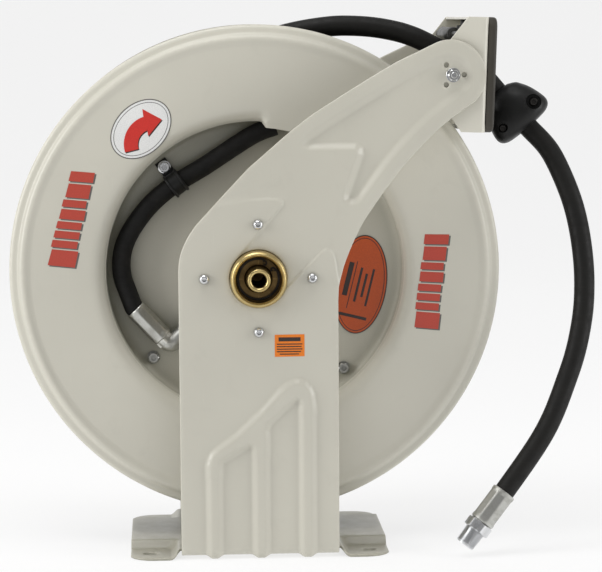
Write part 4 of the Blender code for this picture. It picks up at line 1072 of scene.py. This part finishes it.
def clip():
    """P clip: a band in a channel whose lips stand proud on both edges."""
    sx, sz = COVER_SCREWS[1]
    along = Vector((-0.808, 0, -0.588)).normalized()
    out = Vector((-0.588, 0, 0.808)).normalized()
    centre = Vector((sx, PIGTAIL_Y, sz)) - out * 19.2
    profile = [(-7.4, 9.6), (-7.4, 11.6), (-6.9, 12.5), (-5.6, 12.7), (-4.9, 12.1), (-4.6, 11.5), (4.6, 11.5), (4.9, 12.1), (5.6, 12.7), (6.9, 12.5), (7.4, 11.6), (7.4, 9.6)]
    ring = revolve(profile, centre, along, 64, closed=True)

    def at(a, b, h):
        return centre + out * a + Vector((0, b, 0)) + along * h

    tab = prism([(6.5, 9.8), (25.6, 9.8), (26.4, 10.3), (26.4, 11.9), (25.6, 12.3), (4.0, 12.3)], [], at, -6.2, 6.2)
    return join(ring, tab)


piece("hose_clip", clip(), BLACK, "drum", ["hose_clamp"], 35, 0.0)

# ------------------------------------------------------------------ guide head
WINDOW = (-31.0, 39.0, -32.0, 36.0)


def cheek_left(v):
    marks = [(-53.6, 9.6), (-52.4, 9.0), (-42.0, 1.0), (-24.0, -12.0), (-9.0, -21.4), (0.0, -22.6), (8.0, -21.6), (19.0, -14.0), (55.4, 13.0)]
    for (v0, u0), (v1, u1) in zip(marks, marks[1:]):
        if v <= v1:
            return u0 + (u1 - u0) * (v - v0) / (v1 - v0)
    return marks[-1][1]


def bracket():
    """A plate folded into a channel, with a window for the hose: columns run round the fold, rows run up."""
    rows = [-53.9 + 109.4 * k / 60 for k in range(61)]
    for mark in (-32.0, 36.0):
        rows[min(range(61), key=lambda k: abs(rows[k] - mark))] = mark
    bend = 5.0
    out_u, half = 33.0, 92.0
    columns = [("cheek", -1, k / 14) for k in range(14)]
    columns += [("bend", -1, k / 8) for k in range(9)]
    ys = sorted(set([-87.0 + k * 4.0 for k in range(1, 44)]) | {-31.0, 39.0})
    ys = [y for y in ys if y in (-31.0, 39.0) or min(abs(y + 31.0), abs(y - 39.0)) > 1.5]
    columns += [("plate", 0, y) for y in ys if abs(y) < 86.5]
    columns += [("bend", 1, 1 - k / 8) for k in range(9)]
    columns += [("cheek", 1, 1 - k / 14) for k in range(1, 15)]

    def spot(kind, side, k, v, depth):
        if kind == "cheek":
            left, right = cheek_left(v), out_u - bend
            if side < 0:
                u = left + (right - left) * k
            else:
                u = left + (right - left) * k
            return (u, side * (half - depth), v)
        if kind == "bend":
            a = math.pi / 2 * k
            r = bend - depth
            return (out_u - bend + r * math.sin(a), side * (half - bend + r * math.cos(a)), v)
        return (out_u - depth, k, v)

    points, index = [], {}
    for layer, depth in enumerate((0.0, 2.4)):
        for j, v in enumerate(rows):
            for i, (kind, side, k) in enumerate(columns):
                index[(layer, j, i)] = len(points)
                points.append(spot(kind, side, k, v, depth))
    faces, open_edges = [], {}
    for j in range(len(rows) - 1):
        for i in range(len(columns) - 1):
            a, b = columns[i], columns[i + 1]
            if a[0] == "plate" and b[0] == "plate" and a[2] >= WINDOW[0] - 0.01 and b[2] <= WINDOW[1] + 0.01 and rows[j] >= WINDOW[2] - 0.01 and rows[j + 1] <= WINDOW[3] + 0.01:
                continue
            quad = [(j, i), (j, i + 1), (j + 1, i + 1), (j + 1, i)]
            faces.append(tuple(index[(0, *q)] for q in quad))
            faces.append(tuple(index[(1, *q)] for q in reversed(quad)))
            for p, q in zip(quad, quad[1:] + quad[:1]):
                if (q, p) in open_edges:
                    del open_edges[(q, p)]
                else:
                    open_edges[(p, q)] = True
    for p, q in open_edges:
        faces.append((index[(0, *p)], index[(0, *q)], index[(1, *q)], index[(1, *p)]))
    trays = []
    for low, left, near, far in ((52.8, 13.0, -89.4, 89.4), (-53.7, 14.0, -23.0, 36.5)):
        trays.append(prism([(left, near), (30.4, near), (30.4, far), (left, far)], [list(reversed(circle(22.5, y, 3.2, 20))) for y in (-14.2, 22.2)], xy, low, low + 2.3))
    return join((points, faces), *trays)


piece("bracket_folding", bracket(), LIT_BRACKET_PAINT, "guide_head", ["guide_bracket"], 32, 0.55, True)


def rounded(low_a, high_a, low_b, high_b, r, n=6):
    return arc(high_a - r, high_b - r, r, 0, 90, n) + arc(low_a + r, high_b - r, r, 90, 180, n) + arc(low_a + r, low_b + r, r, 180, 270, n) + arc(high_a - r, low_b + r, r, 270, 360, n)


def frame_moulding():
    """The black surround: a crowned rim round the window, drawn as nested rounded rectangles."""
    stages = [(0.0, 33.3), (0.0, 38.4), (0.3, 39.7), (1.1, 40.8), (2.4, 41.4)]
    rings = []
    for shrink, u in stages:
        rings.append([(u, a, b) for a, b in rounded(-90 + shrink, 90 - shrink, -54 + shrink, 55.6 - shrink, 10 - shrink * 0.5, 6)])
    inner = [(7.0, 41.4), (3.5, 41.1), (1.2, 40.0), (0.0, 38.4), (0.0, 36.0), (0.6, 33.3)]
    for grow, u in inner:
        rings.append([(u, a, b) for a, b in rounded(-29 - grow, 37 + grow, -30 - grow, 34 + grow, 6 + grow, 6)])
    count = len(rings[0])
    points = [p for ring in rings for p in ring]
    faces = grid_faces(len(rings), count)
    last = (len(rings) - 1) * count
    faces += [(last + i, last + (i + 1) % count, (i + 1) % count, i) for i in range(count)]
    return points, faces


piece("window_moulding", frame_moulding(), FRAME_PLASTIC, "guide_head", ["roller_frame"], 50, 0.0, True)
for tag, sign in (("front", -1), ("rear", 1)):
    at = (0.0, sign * 98.0, 0.0)
    way = (0, sign, 0)
    shape = join(
        revolve([(-2.7, 0), (-2.7, 6.6), (-2.4, 6.9), (-1.9, 6.9), (-1.6, 6.6), (-1.6, 0)], at, way, 48),
        nut(-1.6, 3.4, 10.0, at, way, 2.9, 0.8),
        revolve([(2.4, 0), (2.4, 2.9), (4.0, 2.9), (4.7, 2.3), (4.7, 0)], at, way, 32),
        revolve([(-13.0, 0), (-13.0, 2.9), (0.5, 2.9), (0.5, 0)], at, way, 32),
        nut(-13.4, -9.2, 10.0, at, way, 0.0, 0.8),
    )
    piece(f"pivot_hardware_{tag}", shape, ZINC, "guide_head", [f"pivot_bolt_{tag}"], 30, 0.0, True)


def roller(low, high, stub_low, stub_high, at, axis):
    mid, r = (low + high) / 2, 7.0
    profile = [(stub_low, 0), (stub_low, 2.5), (stub_low + 0.5, 2.9), (low - 0.4, 2.9), (low - 0.4, 4.4), (low, 4.6), (low, 5.9), (low + 0.6, 6.5), (low + 2.2, r), (mid, r - 0.6), (high - 2.2, r), (high - 0.6, 6.5), (high, 5.9), (high, 4.6), (high + 0.4, 4.4), (high + 0.4, 2.9), (stub_high - 0.5, 2.9), (stub_high, 2.5), (stub_high, 0)]
    return revolve(profile, at, axis, 56, radius=0.3)


for tag, v in (("upper", 38.4), ("lower", -9.0)):
    piece(f"roller_turning_{tag}", roller(-38, 46, -91.5, 91.5, (6.0, 0, v), (0, 1, 0)), ROLLER, f"roller_{tag}", [f"roller_{tag}"], 35, 0.0, True)
for tag, y in (("front", -14.2), ("rear", 22.2)):
    piece(f"roller_turning_{tag}", roller(-47, 47, -52.3, 54.2, (22.5, y, 0), (0, 0, 1)), ROLLER, f"roller_{tag}", [f"roller_{tag}"], 35, 0.0, True)

# ------------------------------------------------------------------------ hose
HOSE_R = 10.0
lead = [(218.0 * math.cos(math.radians(a)), 7.0, AXIS_Z + 218.0 * math.sin(math.radians(a))) for a in (165, 150, 135, 120, 107, 96)]
LEAD = lead + [(0.0, 8, 492.6), (19.0, 8, 497.6), (45.7, 8, 504.0), (72.3, 8, 508.0), (92.1, 8, 509.0), (118.8, 8, 507.4), (142.5, 6.5, 503.0), (158.0, 4.6, 498.0), (170.0, 4, 492.6), (189.5, 4, 482.4), (204.0, 4, 474.0)]
first = piece("hose_cover_inner", sweep(relaxed(smooth_path(LEAD, 7), 4), HOSE_R, 40), HOSE, None, ["hose_lead"], 50)
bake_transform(first)

STOP_AT = Vector((258.0, -1.5, 424.3))
STOP_WAY = Vector((0.640, -0.17, -0.749)).normalized()
TAIL = [STOP_AT + STOP_WAY * 22.5, (289.0, -12.5, 389.5), (299.3, -22, 369.8), (310.6, -33, 339.0), (316.9, -41, 310.2), (320.2, -48, 279.4), (320.3, -54, 252.5), (317.7, -60, 226.7), (310.4, -68, 195.3), (299.7, -75, 166.0), (277.3, -87, 117.1), (235.6, -99, 61.0)]
coarse_tail = smooth_path(TAIL, 2)
TAIL_END = coarse_tail[-1]
TAIL_WAY = (Vector((212.6, -104, 32.4)) - TAIL_END).normalized()
joined = [Vector((202.0, 4, 475.1)), Vector((213.0, 3.9, 468.9)), Vector((224.0, 3.5, 462.5)), Vector((232.5, 3.4, 454.2)), STOP_AT - STOP_WAY * 25.0, STOP_AT, STOP_AT + STOP_WAY * 22.5]
tail_path = smooth_path(joined, 6)[:-1] + smooth_path(TAIL + [TAIL_END + TAIL_WAY * 20], 8)
second = piece("hose_cover_outer", sweep(relaxed(tail_path, 5), HOSE_R, 40), HOSE, None, ["hose_tail", "hose_section"], 50)
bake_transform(second)

piece("tail_crimp", crimped(TAIL_END, TAIL_WAY, 36.5, 10.15, 12.1), SATIN, "hose_end", ["tail_ferrule"], 25)


def threaded():
    """Hexagon and tapered male thread: the thread is a true helix, drawn as a radius that rises and falls along the turn."""
    hexagon = revolve(
        [(37.0, 0), (37.0, 11.4), (37.8, 13.1), (46.2, 13.1), (46.9, 11.6), (46.9, 0)], TAIL_END, TAIL_WAY, 96, reach=hexed(23.6)
    )
    start, end, pitch = 47.0, 63.2, 1.81

    def reach(t, a, r):
        if r < 8.9 or a < start or a > end + 0.6:
            return a, r
        phase = ((a - start) / pitch - t / (2 * math.pi)) % 1.0
        ridge = 1 - abs(2 * phase - 1)
        taper = 10.35 - (a - start) * 0.035
        grow = min(1.0, (end + 0.6 - a) / 1.2, (a - start + 0.4) / 0.8)
        return a, taper - 0.95 + 0.95 * max(0.0, min(1.0, ridge * 1.35 - 0.15)) * max(grow, 0.0)

    profile = [(46.0, 0), (46.0, 9.5)] + [(start + (end - start) * k / 90, 9.6) for k in range(91)] + [(63.8, 8.6), (63.9, 7.6), (63.4, 6.5), (50.0, 6.2), (50.0, 0)]
    return join(hexagon, revolve(profile, TAIL_END, TAIL_WAY, 72, reach=reach))


piece("threaded_end", threaded(), ZINC, "hose_end", ["tail_fitting"], 30)

STOP_SIDE = (Vector((0, 1, 0)) - STOP_WAY * STOP_WAY.y).normalized()
STOP_CROSS = STOP_WAY.cross(STOP_SIDE).normalized()
STOP_PROFILE = [(-24.0, 11.6, 11.6), (-23.6, 13.2, 13.0), (-20.0, 19.6, 17.4), (-16.0, 22.6, 19.8), (-10.0, 26.0, 22.0), (-4.0, 28.4, 23.3), (4.0, 30.7, 24.0), (10.0, 31.7, 23.6), (14.5, 31.2, 22.4), (18.0, 28.6, 20.4), (20.4, 23.6, 17.2), (21.4, 16.0, 13.6), (21.5, 11.6, 11.6)]


def stop_half(sign):
    """Half of the clamp-on ball stop as a closed skin of squared ovals, before its bolt pockets are cut."""
    profile = [(p.x, p.y, p.z) for p in smooth_path([Vector(q) for q in STOP_PROFILE], 3)]
    split, bore, count = 0.25, 10.3, 20
    points = []
    width = 2 * (count + 1)
    for a, half, deep in profile:
        centre = STOP_AT + STOP_WAY * a
        for k in range(count + 1):
            t = math.pi * k / count
            c, s = math.cos(t), math.sin(t)
            c = math.copysign(abs(c) ** 0.82, c)
            s = abs(s) ** 0.82
            points.append(centre + STOP_CROSS * (max(half, bore + 0.8) * c) + STOP_SIDE * (sign * (split + (deep - split) * s)))
        for k in range(count + 1):
            t = math.pi * (count - k) / count
            points.append(centre + STOP_CROSS * (bore * math.cos(t)) + STOP_SIDE * (sign * (split + (bore - split) * math.sin(t))))
    faces = grid_faces(len(profile), width)
    for s in (0, len(profile) - 1):
        for k in range(count):
            faces.append((s * width + k, s * width + k + 1, s * width + width - 2 - k, s * width + width - 1 - k))
    return points, faces


def cut(target, shape, name):
    """Take a shape out of a piece and keep the result as plain mesh."""
    points, faces = shape
    mesh = bpy.data.meshes.new(name)
    mesh.from_pydata([world(p) for p in points], [], faces)
    bm = bmesh.new()
    bm.from_mesh(mesh)
    bmesh.ops.recalc_face_normals(bm, faces=bm.faces)
    bm.to_mesh(mesh)
    bm.free()
    tool = bpy.data.objects.new(name, mesh)
    bpy.context.scene.collection.objects.link(tool)
    modifier = target.modifiers.new(name, "BOOLEAN")
    modifier.operation = "DIFFERENCE"
    modifier.solver = "EXACT"
    modifier.object = tool
    graph = bpy.context.evaluated_depsgraph_get()
    result = bpy.data.meshes.new_from_object(target.evaluated_get(graph))
    target.modifiers.remove(modifier)
    target.data = result
    bpy.data.objects.remove(tool, do_unlink=True)
    result.shade_smooth()
    result.set_sharp_from_angle(angle=math.radians(38))


for tag, sign in (("front", -1), ("rear", 1)):
    half = piece(f"ball_stop_{tag}", stop_half(sign), BLACK, None, (), 38)
    for index, offset in ((1, 19.2), (2, -20.8)):
        at = STOP_AT + STOP_WAY * 7.0 + STOP_CROSS * offset
        k = 1.12 if index == 1 else 0.66
        cut(half, revolve([(-40, 0), (-40, 8.4 * k), (-22.0, 7.3 * k), (-19.0, 6.7 * k), (-12, 6.5 * k), (-12, 2.7), (12, 2.7), (12, 6.5), (19.0, 6.7), (22.0, 7.3), (40, 8.4), (40, 0)], at, STOP_SIDE, 40), f"pocket_{tag}_{index}")
    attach(half, "hose_end")
    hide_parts(f"stop_half_{tag}")
for index, offset in ((1, 19.2), (2, -20.8)):
    at = STOP_AT + STOP_WAY * 7.0 + STOP_CROSS * offset
    k = 0.86 if index == 1 else 0.76
    shape = join(
        revolve([(-13.2, 0), (-13.1, 2.4 * k), (-14.4, 2.7 * k), (-14.5, 3.8 * k), (-14.1, 4.6 * k), (-13.6, 5.0 * k), (-12.3, 5.0 * k), (-12.3, 2.6), (12.5, 2.6), (12.5, 0)], at, STOP_SIDE, 40),
        nut(12.3, 16.6, 9.4, at, STOP_SIDE, 2.7, 0.7),
    )
    piece(f"stop_screw_{index}", shape, DARK_STEEL, "hose_end", [f"stop_bolt_{index}"], 32)

# ---------------------------------------------------------------------- decals


def decal(name, loops, material, body, y, thick=0.12):
    shape = join(*[prism(loop if area(loop) > 0 else list(reversed(loop)), [], xz, y - thick, y) for loop in loops])
    return piece(name, shape, material, body, (), 40)


def oval(cx, cz, a, b, tilt, n=72):
    t0 = math.radians(tilt)
    out = []
    for k in range(n):
        t = 2 * math.pi * k / n
        x, z = a * math.cos(t), b * math.sin(t)
        out.append((cx + x * math.cos(t0) - z * math.sin(t0), cz + x * math.sin(t0) + z * math.cos(t0)))
    return out


def turned(points, cx, cz, tilt, scale=1.0):
    t0 = math.radians(tilt)
    return [(cx + scale * (x * math.cos(t0) - z * math.sin(t0)), cz + scale * (x * math.sin(t0) + z * math.cos(t0))) for x, z in points]


LX, LZ = -110.0, 411.0
decal("turn_mark_edge", [oval(LX, LZ, 33.4, 24.6, 43)], GREY_INK, "drum", -34.16, 0.10)
decal("turn_mark_film", [oval(LX, LZ, 32.4, 23.6, 43)], WHITE_INK, "drum", -34.27, 0.10)
decal("turn_mark_line", [oval(LX, LZ, 30.4, 21.6, 43)], GREY_INK, "drum", -34.38, 0.08)
decal("turn_mark_field", [oval(LX, LZ, 29.8, 21.0, 43)], WHITE_INK, "drum", -34.47, 0.08)
bow = arc(10.0, -13.0, 21.5, 188, 100, 14) + [(6.4, 14.0), (19.5, 4.2), (7.6, -6.6), (7.6, -0.2)] + arc(10.0, -13.0, 11.0, 103, 190, 12)
decal("turn_mark_shadow", [turned(bow, LX - 3.2, LZ - 0.9, 8, 1.3)], DARK_INK, "drum", -34.56, 0.06)
decal("turn_mark_arrow", [turned(bow, LX - 4.0, LZ + 0.2, 8, 1.3)], RED_INK, "drum", -34.63, 0.06)


def stripe_blocks(corners, splits, lean=0.0):
    """A plain row of slanted bars between the four corners of a band."""
    a, b, c, d = [np.array(p, float) for p in corners]
    blocks = []
    for s0, s1, i0, i1 in splits:
        lower, upper = a + (b - a) * s0, a + (b - a) * s1
        lower_in, upper_in = d + (c - d) * s0, d + (c - d) * s1
        p = lower + (lower_in - lower) * i0
        q = lower + (lower_in - lower) * i1
        r = upper + (upper_in - upper) * i1
        t = upper + (upper_in - upper) * i0
        blocks.append([tuple(p), tuple(q), tuple(r), tuple(t)])
    return blocks


BARS = [(0.0, 0.17, 0.06, 1.0), (0.195, 0.27, 0.0, 0.92), (0.295, 0.37, 0.0, 0.92), (0.395, 0.47, 0.0, 0.92), (0.495, 0.60, 0.02, 0.96), (0.625, 0.70, 0.0, 0.92), (0.725, 0.87, 0.04, 0.96), (0.895, 1.0, 0.0, 1.0)]
for tag, corners in (
    ("left", [(-204, 280), (-178, 371), (-155, 369), (-176, 277)]),
    ("right", [(154, 214), (166, 305.5), (190, 305), (179, 211.5)]),
):
    shadow = [[(x + 1.5, z - 1.3) for x, z in block] for block in stripe_blocks(corners, BARS)]
    decal(f"band_shadow_{tag}", shadow, GREY_INK, "drum", -34.16, 0.08)
    decal(f"band_bars_{tag}", stripe_blocks(corners, BARS), DULL_RED_INK, "drum", -34.26, 0.08)

OX, OZ = 105.0, 253.0
decal("cover_mark_edge", [oval(OX, OZ, 49.5, 26.5, 82)], DARK_INK, "drum", -0.28, 0.10)
decal("cover_mark_field", [oval(OX, OZ, 48.6, 25.6, 82)], ORANGE_INK, "drum", -0.40, 0.10)
decal("cover_mark_line", [oval(OX, OZ, 46.8, 23.8, 82)], DARK_INK, "drum", -0.50, 0.06)
decal("cover_mark_centre", [oval(OX, OZ, 46.1, 23.1, 82)], ORANGE_INK, "drum", -0.58, 0.06)
lines = []
for u0, u1, v0, v1 in ((-26, 22, 7.5, 8.3), (-14, 20, 10.5, 15.5), (-18, 17, 0.8, 3.2), (-12, 12, -5.2, -2.8), (-20, 18, -11.0, -8.8), (-34, -31, -14, 14)):
    lines.append(turned([(u0, v0), (u1, v0), (u1, v1), (u0, v1)], OX, OZ, 76))
decal("cover_mark_bars", lines, DARK_INK, "drum", -0.66, 0.06)
RX, RZ = 29.2, 206.5
decal("arm_mark_field", [[(RX - 14.2, RZ - 10.6), (RX + 14.2, RZ - 10.4), (RX + 14.2, RZ + 10.8), (RX - 14.2, RZ + 10.6)]], AMBER_INK, "frame", -99.52, 0.12)
lines = []
for x0, x1, z0, z1 in ((-10.5, 10.5, 4.2, 8.0), (-12.2, 12.2, 1.0, 2.0), (-12.2, 11.4, -1.4, -0.4), (-12.2, 12.2, -3.8, -2.8), (-12.2, 10.8, -6.2, -5.2), (-9.5, 9.0, -8.6, -7.6)):
    lines.append([(RX + x0, RZ + z0), (RX + x1, RZ + z0), (RX + x1, RZ + z1), (RX + x0, RZ + z1)])
decal("arm_mark_bars", lines, DARK_INK, "frame", -99.66, 0.06)

# ------------------------------------------------------- stage, light, camera


def backdrop():
    """A seamless sweep: floor in front, rising behind the object."""
    profile = [(-3.2, 0.0), (2.0, 0.0)] + [(2.0 + 1.5 * math.sin(math.radians(a)), 1.5 - 1.5 * math.cos(math.radians(a))) for a in range(6, 91, 6)] + [(3.5, 5.0)]
    points, faces = [], []
    for y, z in profile:
        points += [(-6.0, y, z - LIFT * MM), (6.0, y, z - LIFT * MM)]
    for k in range(len(profile) - 1):
        faces.append((2 * k, 2 * k + 1, 2 * k + 3, 2 * k + 2))
    mesh = bpy.data.meshes.new("studio_sweep")
    mesh.from_pydata(points, [], faces)
    made = bpy.data.objects.new("studio_sweep", mesh)
    bpy.context.scene.collection.objects.link(made)
    r = Recipe("studio_paper", linear(137, 137, 137), 0.9)
    r.colour(r.mix(r.span(r.noise(2.0, 2.0), 0.3, 0.7), linear(136, 136, 136), linear(138, 138, 138)))
    r.bump(r.noise(300.0, 2.0), 0.0001, 0.1)
    r.shader.inputs["Emission Color"].default_value = (1, 1, 1, 1)
    r.shader.inputs["Emission Strength"].default_value = 0.71
    # A camera behind the sweep looks through it, as its back face is clear.
    tree = r.mat.node_tree
    behind = tree.nodes.new("ShaderNodeNewGeometry")
    clear = tree.nodes.new("ShaderNodeBsdfTransparent")
    either = tree.nodes.new("ShaderNodeMixShader")
    surface = [n for n in tree.nodes if n.type == "OUTPUT_MATERIAL"][0].inputs["Surface"]
    tree.links.new(behind.outputs["Backfacing"], either.inputs[0])
    tree.links.new(r.shader.outputs[0], either.inputs[1])
    tree.links.new(clear.outputs[0], either.inputs[2])
    tree.links.new(either.outputs[0], surface)
    mesh.materials.append(r.mat)
    mesh.shade_smooth()


backdrop()
sky = bpy.data.worlds.new("studio")
bpy.context.scene.world = sky
sky.use_nodes = True
sky_nodes = sky.node_tree.nodes
sky_coord = sky_nodes.new("ShaderNodeTexCoord")
sky_split = sky_nodes.new("ShaderNodeSeparateXYZ")
sky.node_tree.links.new(sky_coord.outputs["Generated"], sky_split.inputs["Vector"])
sky_span = sky_nodes.new("ShaderNodeMapRange")
sky_span.inputs["From Min"].default_value = -0.2
sky_span.inputs["From Max"].default_value = 0.9
sky_span.inputs["To Min"].default_value = 0.20
sky_span.inputs["To Max"].default_value = 0.40
sky.node_tree.links.new(sky_split.outputs["Z"], sky_span.inputs["Value"])
sky_nodes["Background"].inputs["Color"].default_value = (1.0, 1.0, 1.0, 1.0)
# The camera sees pale studio paper past the edges of the sweep, while the light stays as it is.
sky_path = sky_nodes.new("ShaderNodeLightPath")
sky_seen = sky_nodes.new("ShaderNodeMath")
sky_seen.operation = "MULTIPLY"
sky_seen.inputs[1].default_value = 0.92
sky.node_tree.links.new(sky_path.outputs["Is Camera Ray"], sky_seen.inputs[0])
sky_most = sky_nodes.new("ShaderNodeMath")
sky_most.operation = "MAXIMUM"
sky.node_tree.links.new(sky_span.outputs["Result"], sky_most.inputs[0])
sky.node_tree.links.new(sky_seen.outputs["Value"], sky_most.inputs[1])
sky.node_tree.links.new(sky_most.outputs["Value"], sky_nodes["Background"].inputs["Strength"])


def area_light(name, at, target, size, power, tint=(1, 1, 1)):
    data = bpy.data.lights.new(name, "AREA")
    data.shape = "RECTANGLE"
    data.size, data.size_y = size
    data.energy = power
    data.color = tint
    made = bpy.data.objects.new(name, data)
    bpy.context.scene.collection.objects.link(made)
    made.location = at
    made.rotation_euler = (Vector(target) - Vector(at)).to_track_quat("-Z", "Y").to_euler()
    return made


area_light("softbox_left", (-2.2, -0.85, 0.9), (0, 0, 0.3), (0.9, 1.6), 28.5)
area_light("softbox_right", (2.25, -0.85, 0.8), (0, 0, 0.3), (0.8, 1.6), 21.0)
area_light("softbox_top", (-0.3, -0.5, 2.3), (0, 0, 0.2), (1.8, 1.0), 19.5)

look = Vector((0.0557, 0.9920, -0.1129)).normalized()
data = bpy.data.cameras.new("camera")
camera = bpy.data.objects.new("camera", data)
bpy.context.scene.collection.objects.link(camera)
camera.location = (-0.084, -2.316, 0.5158 - LIFT * MM)
camera.rotation_euler = (look.to_track_quat("-Z", "Y").to_matrix() @ Matrix.Rotation(math.radians(-0.4), 3, "Z")).to_euler()
data.sensor_width = 36.0
data.lens = 2350.0 / 602.0 * 36.0
data.clip_end = 50.0
bpy.context.scene.camera = camera
bpy.context.scene.view_settings.view_transform = "Standard"

import json
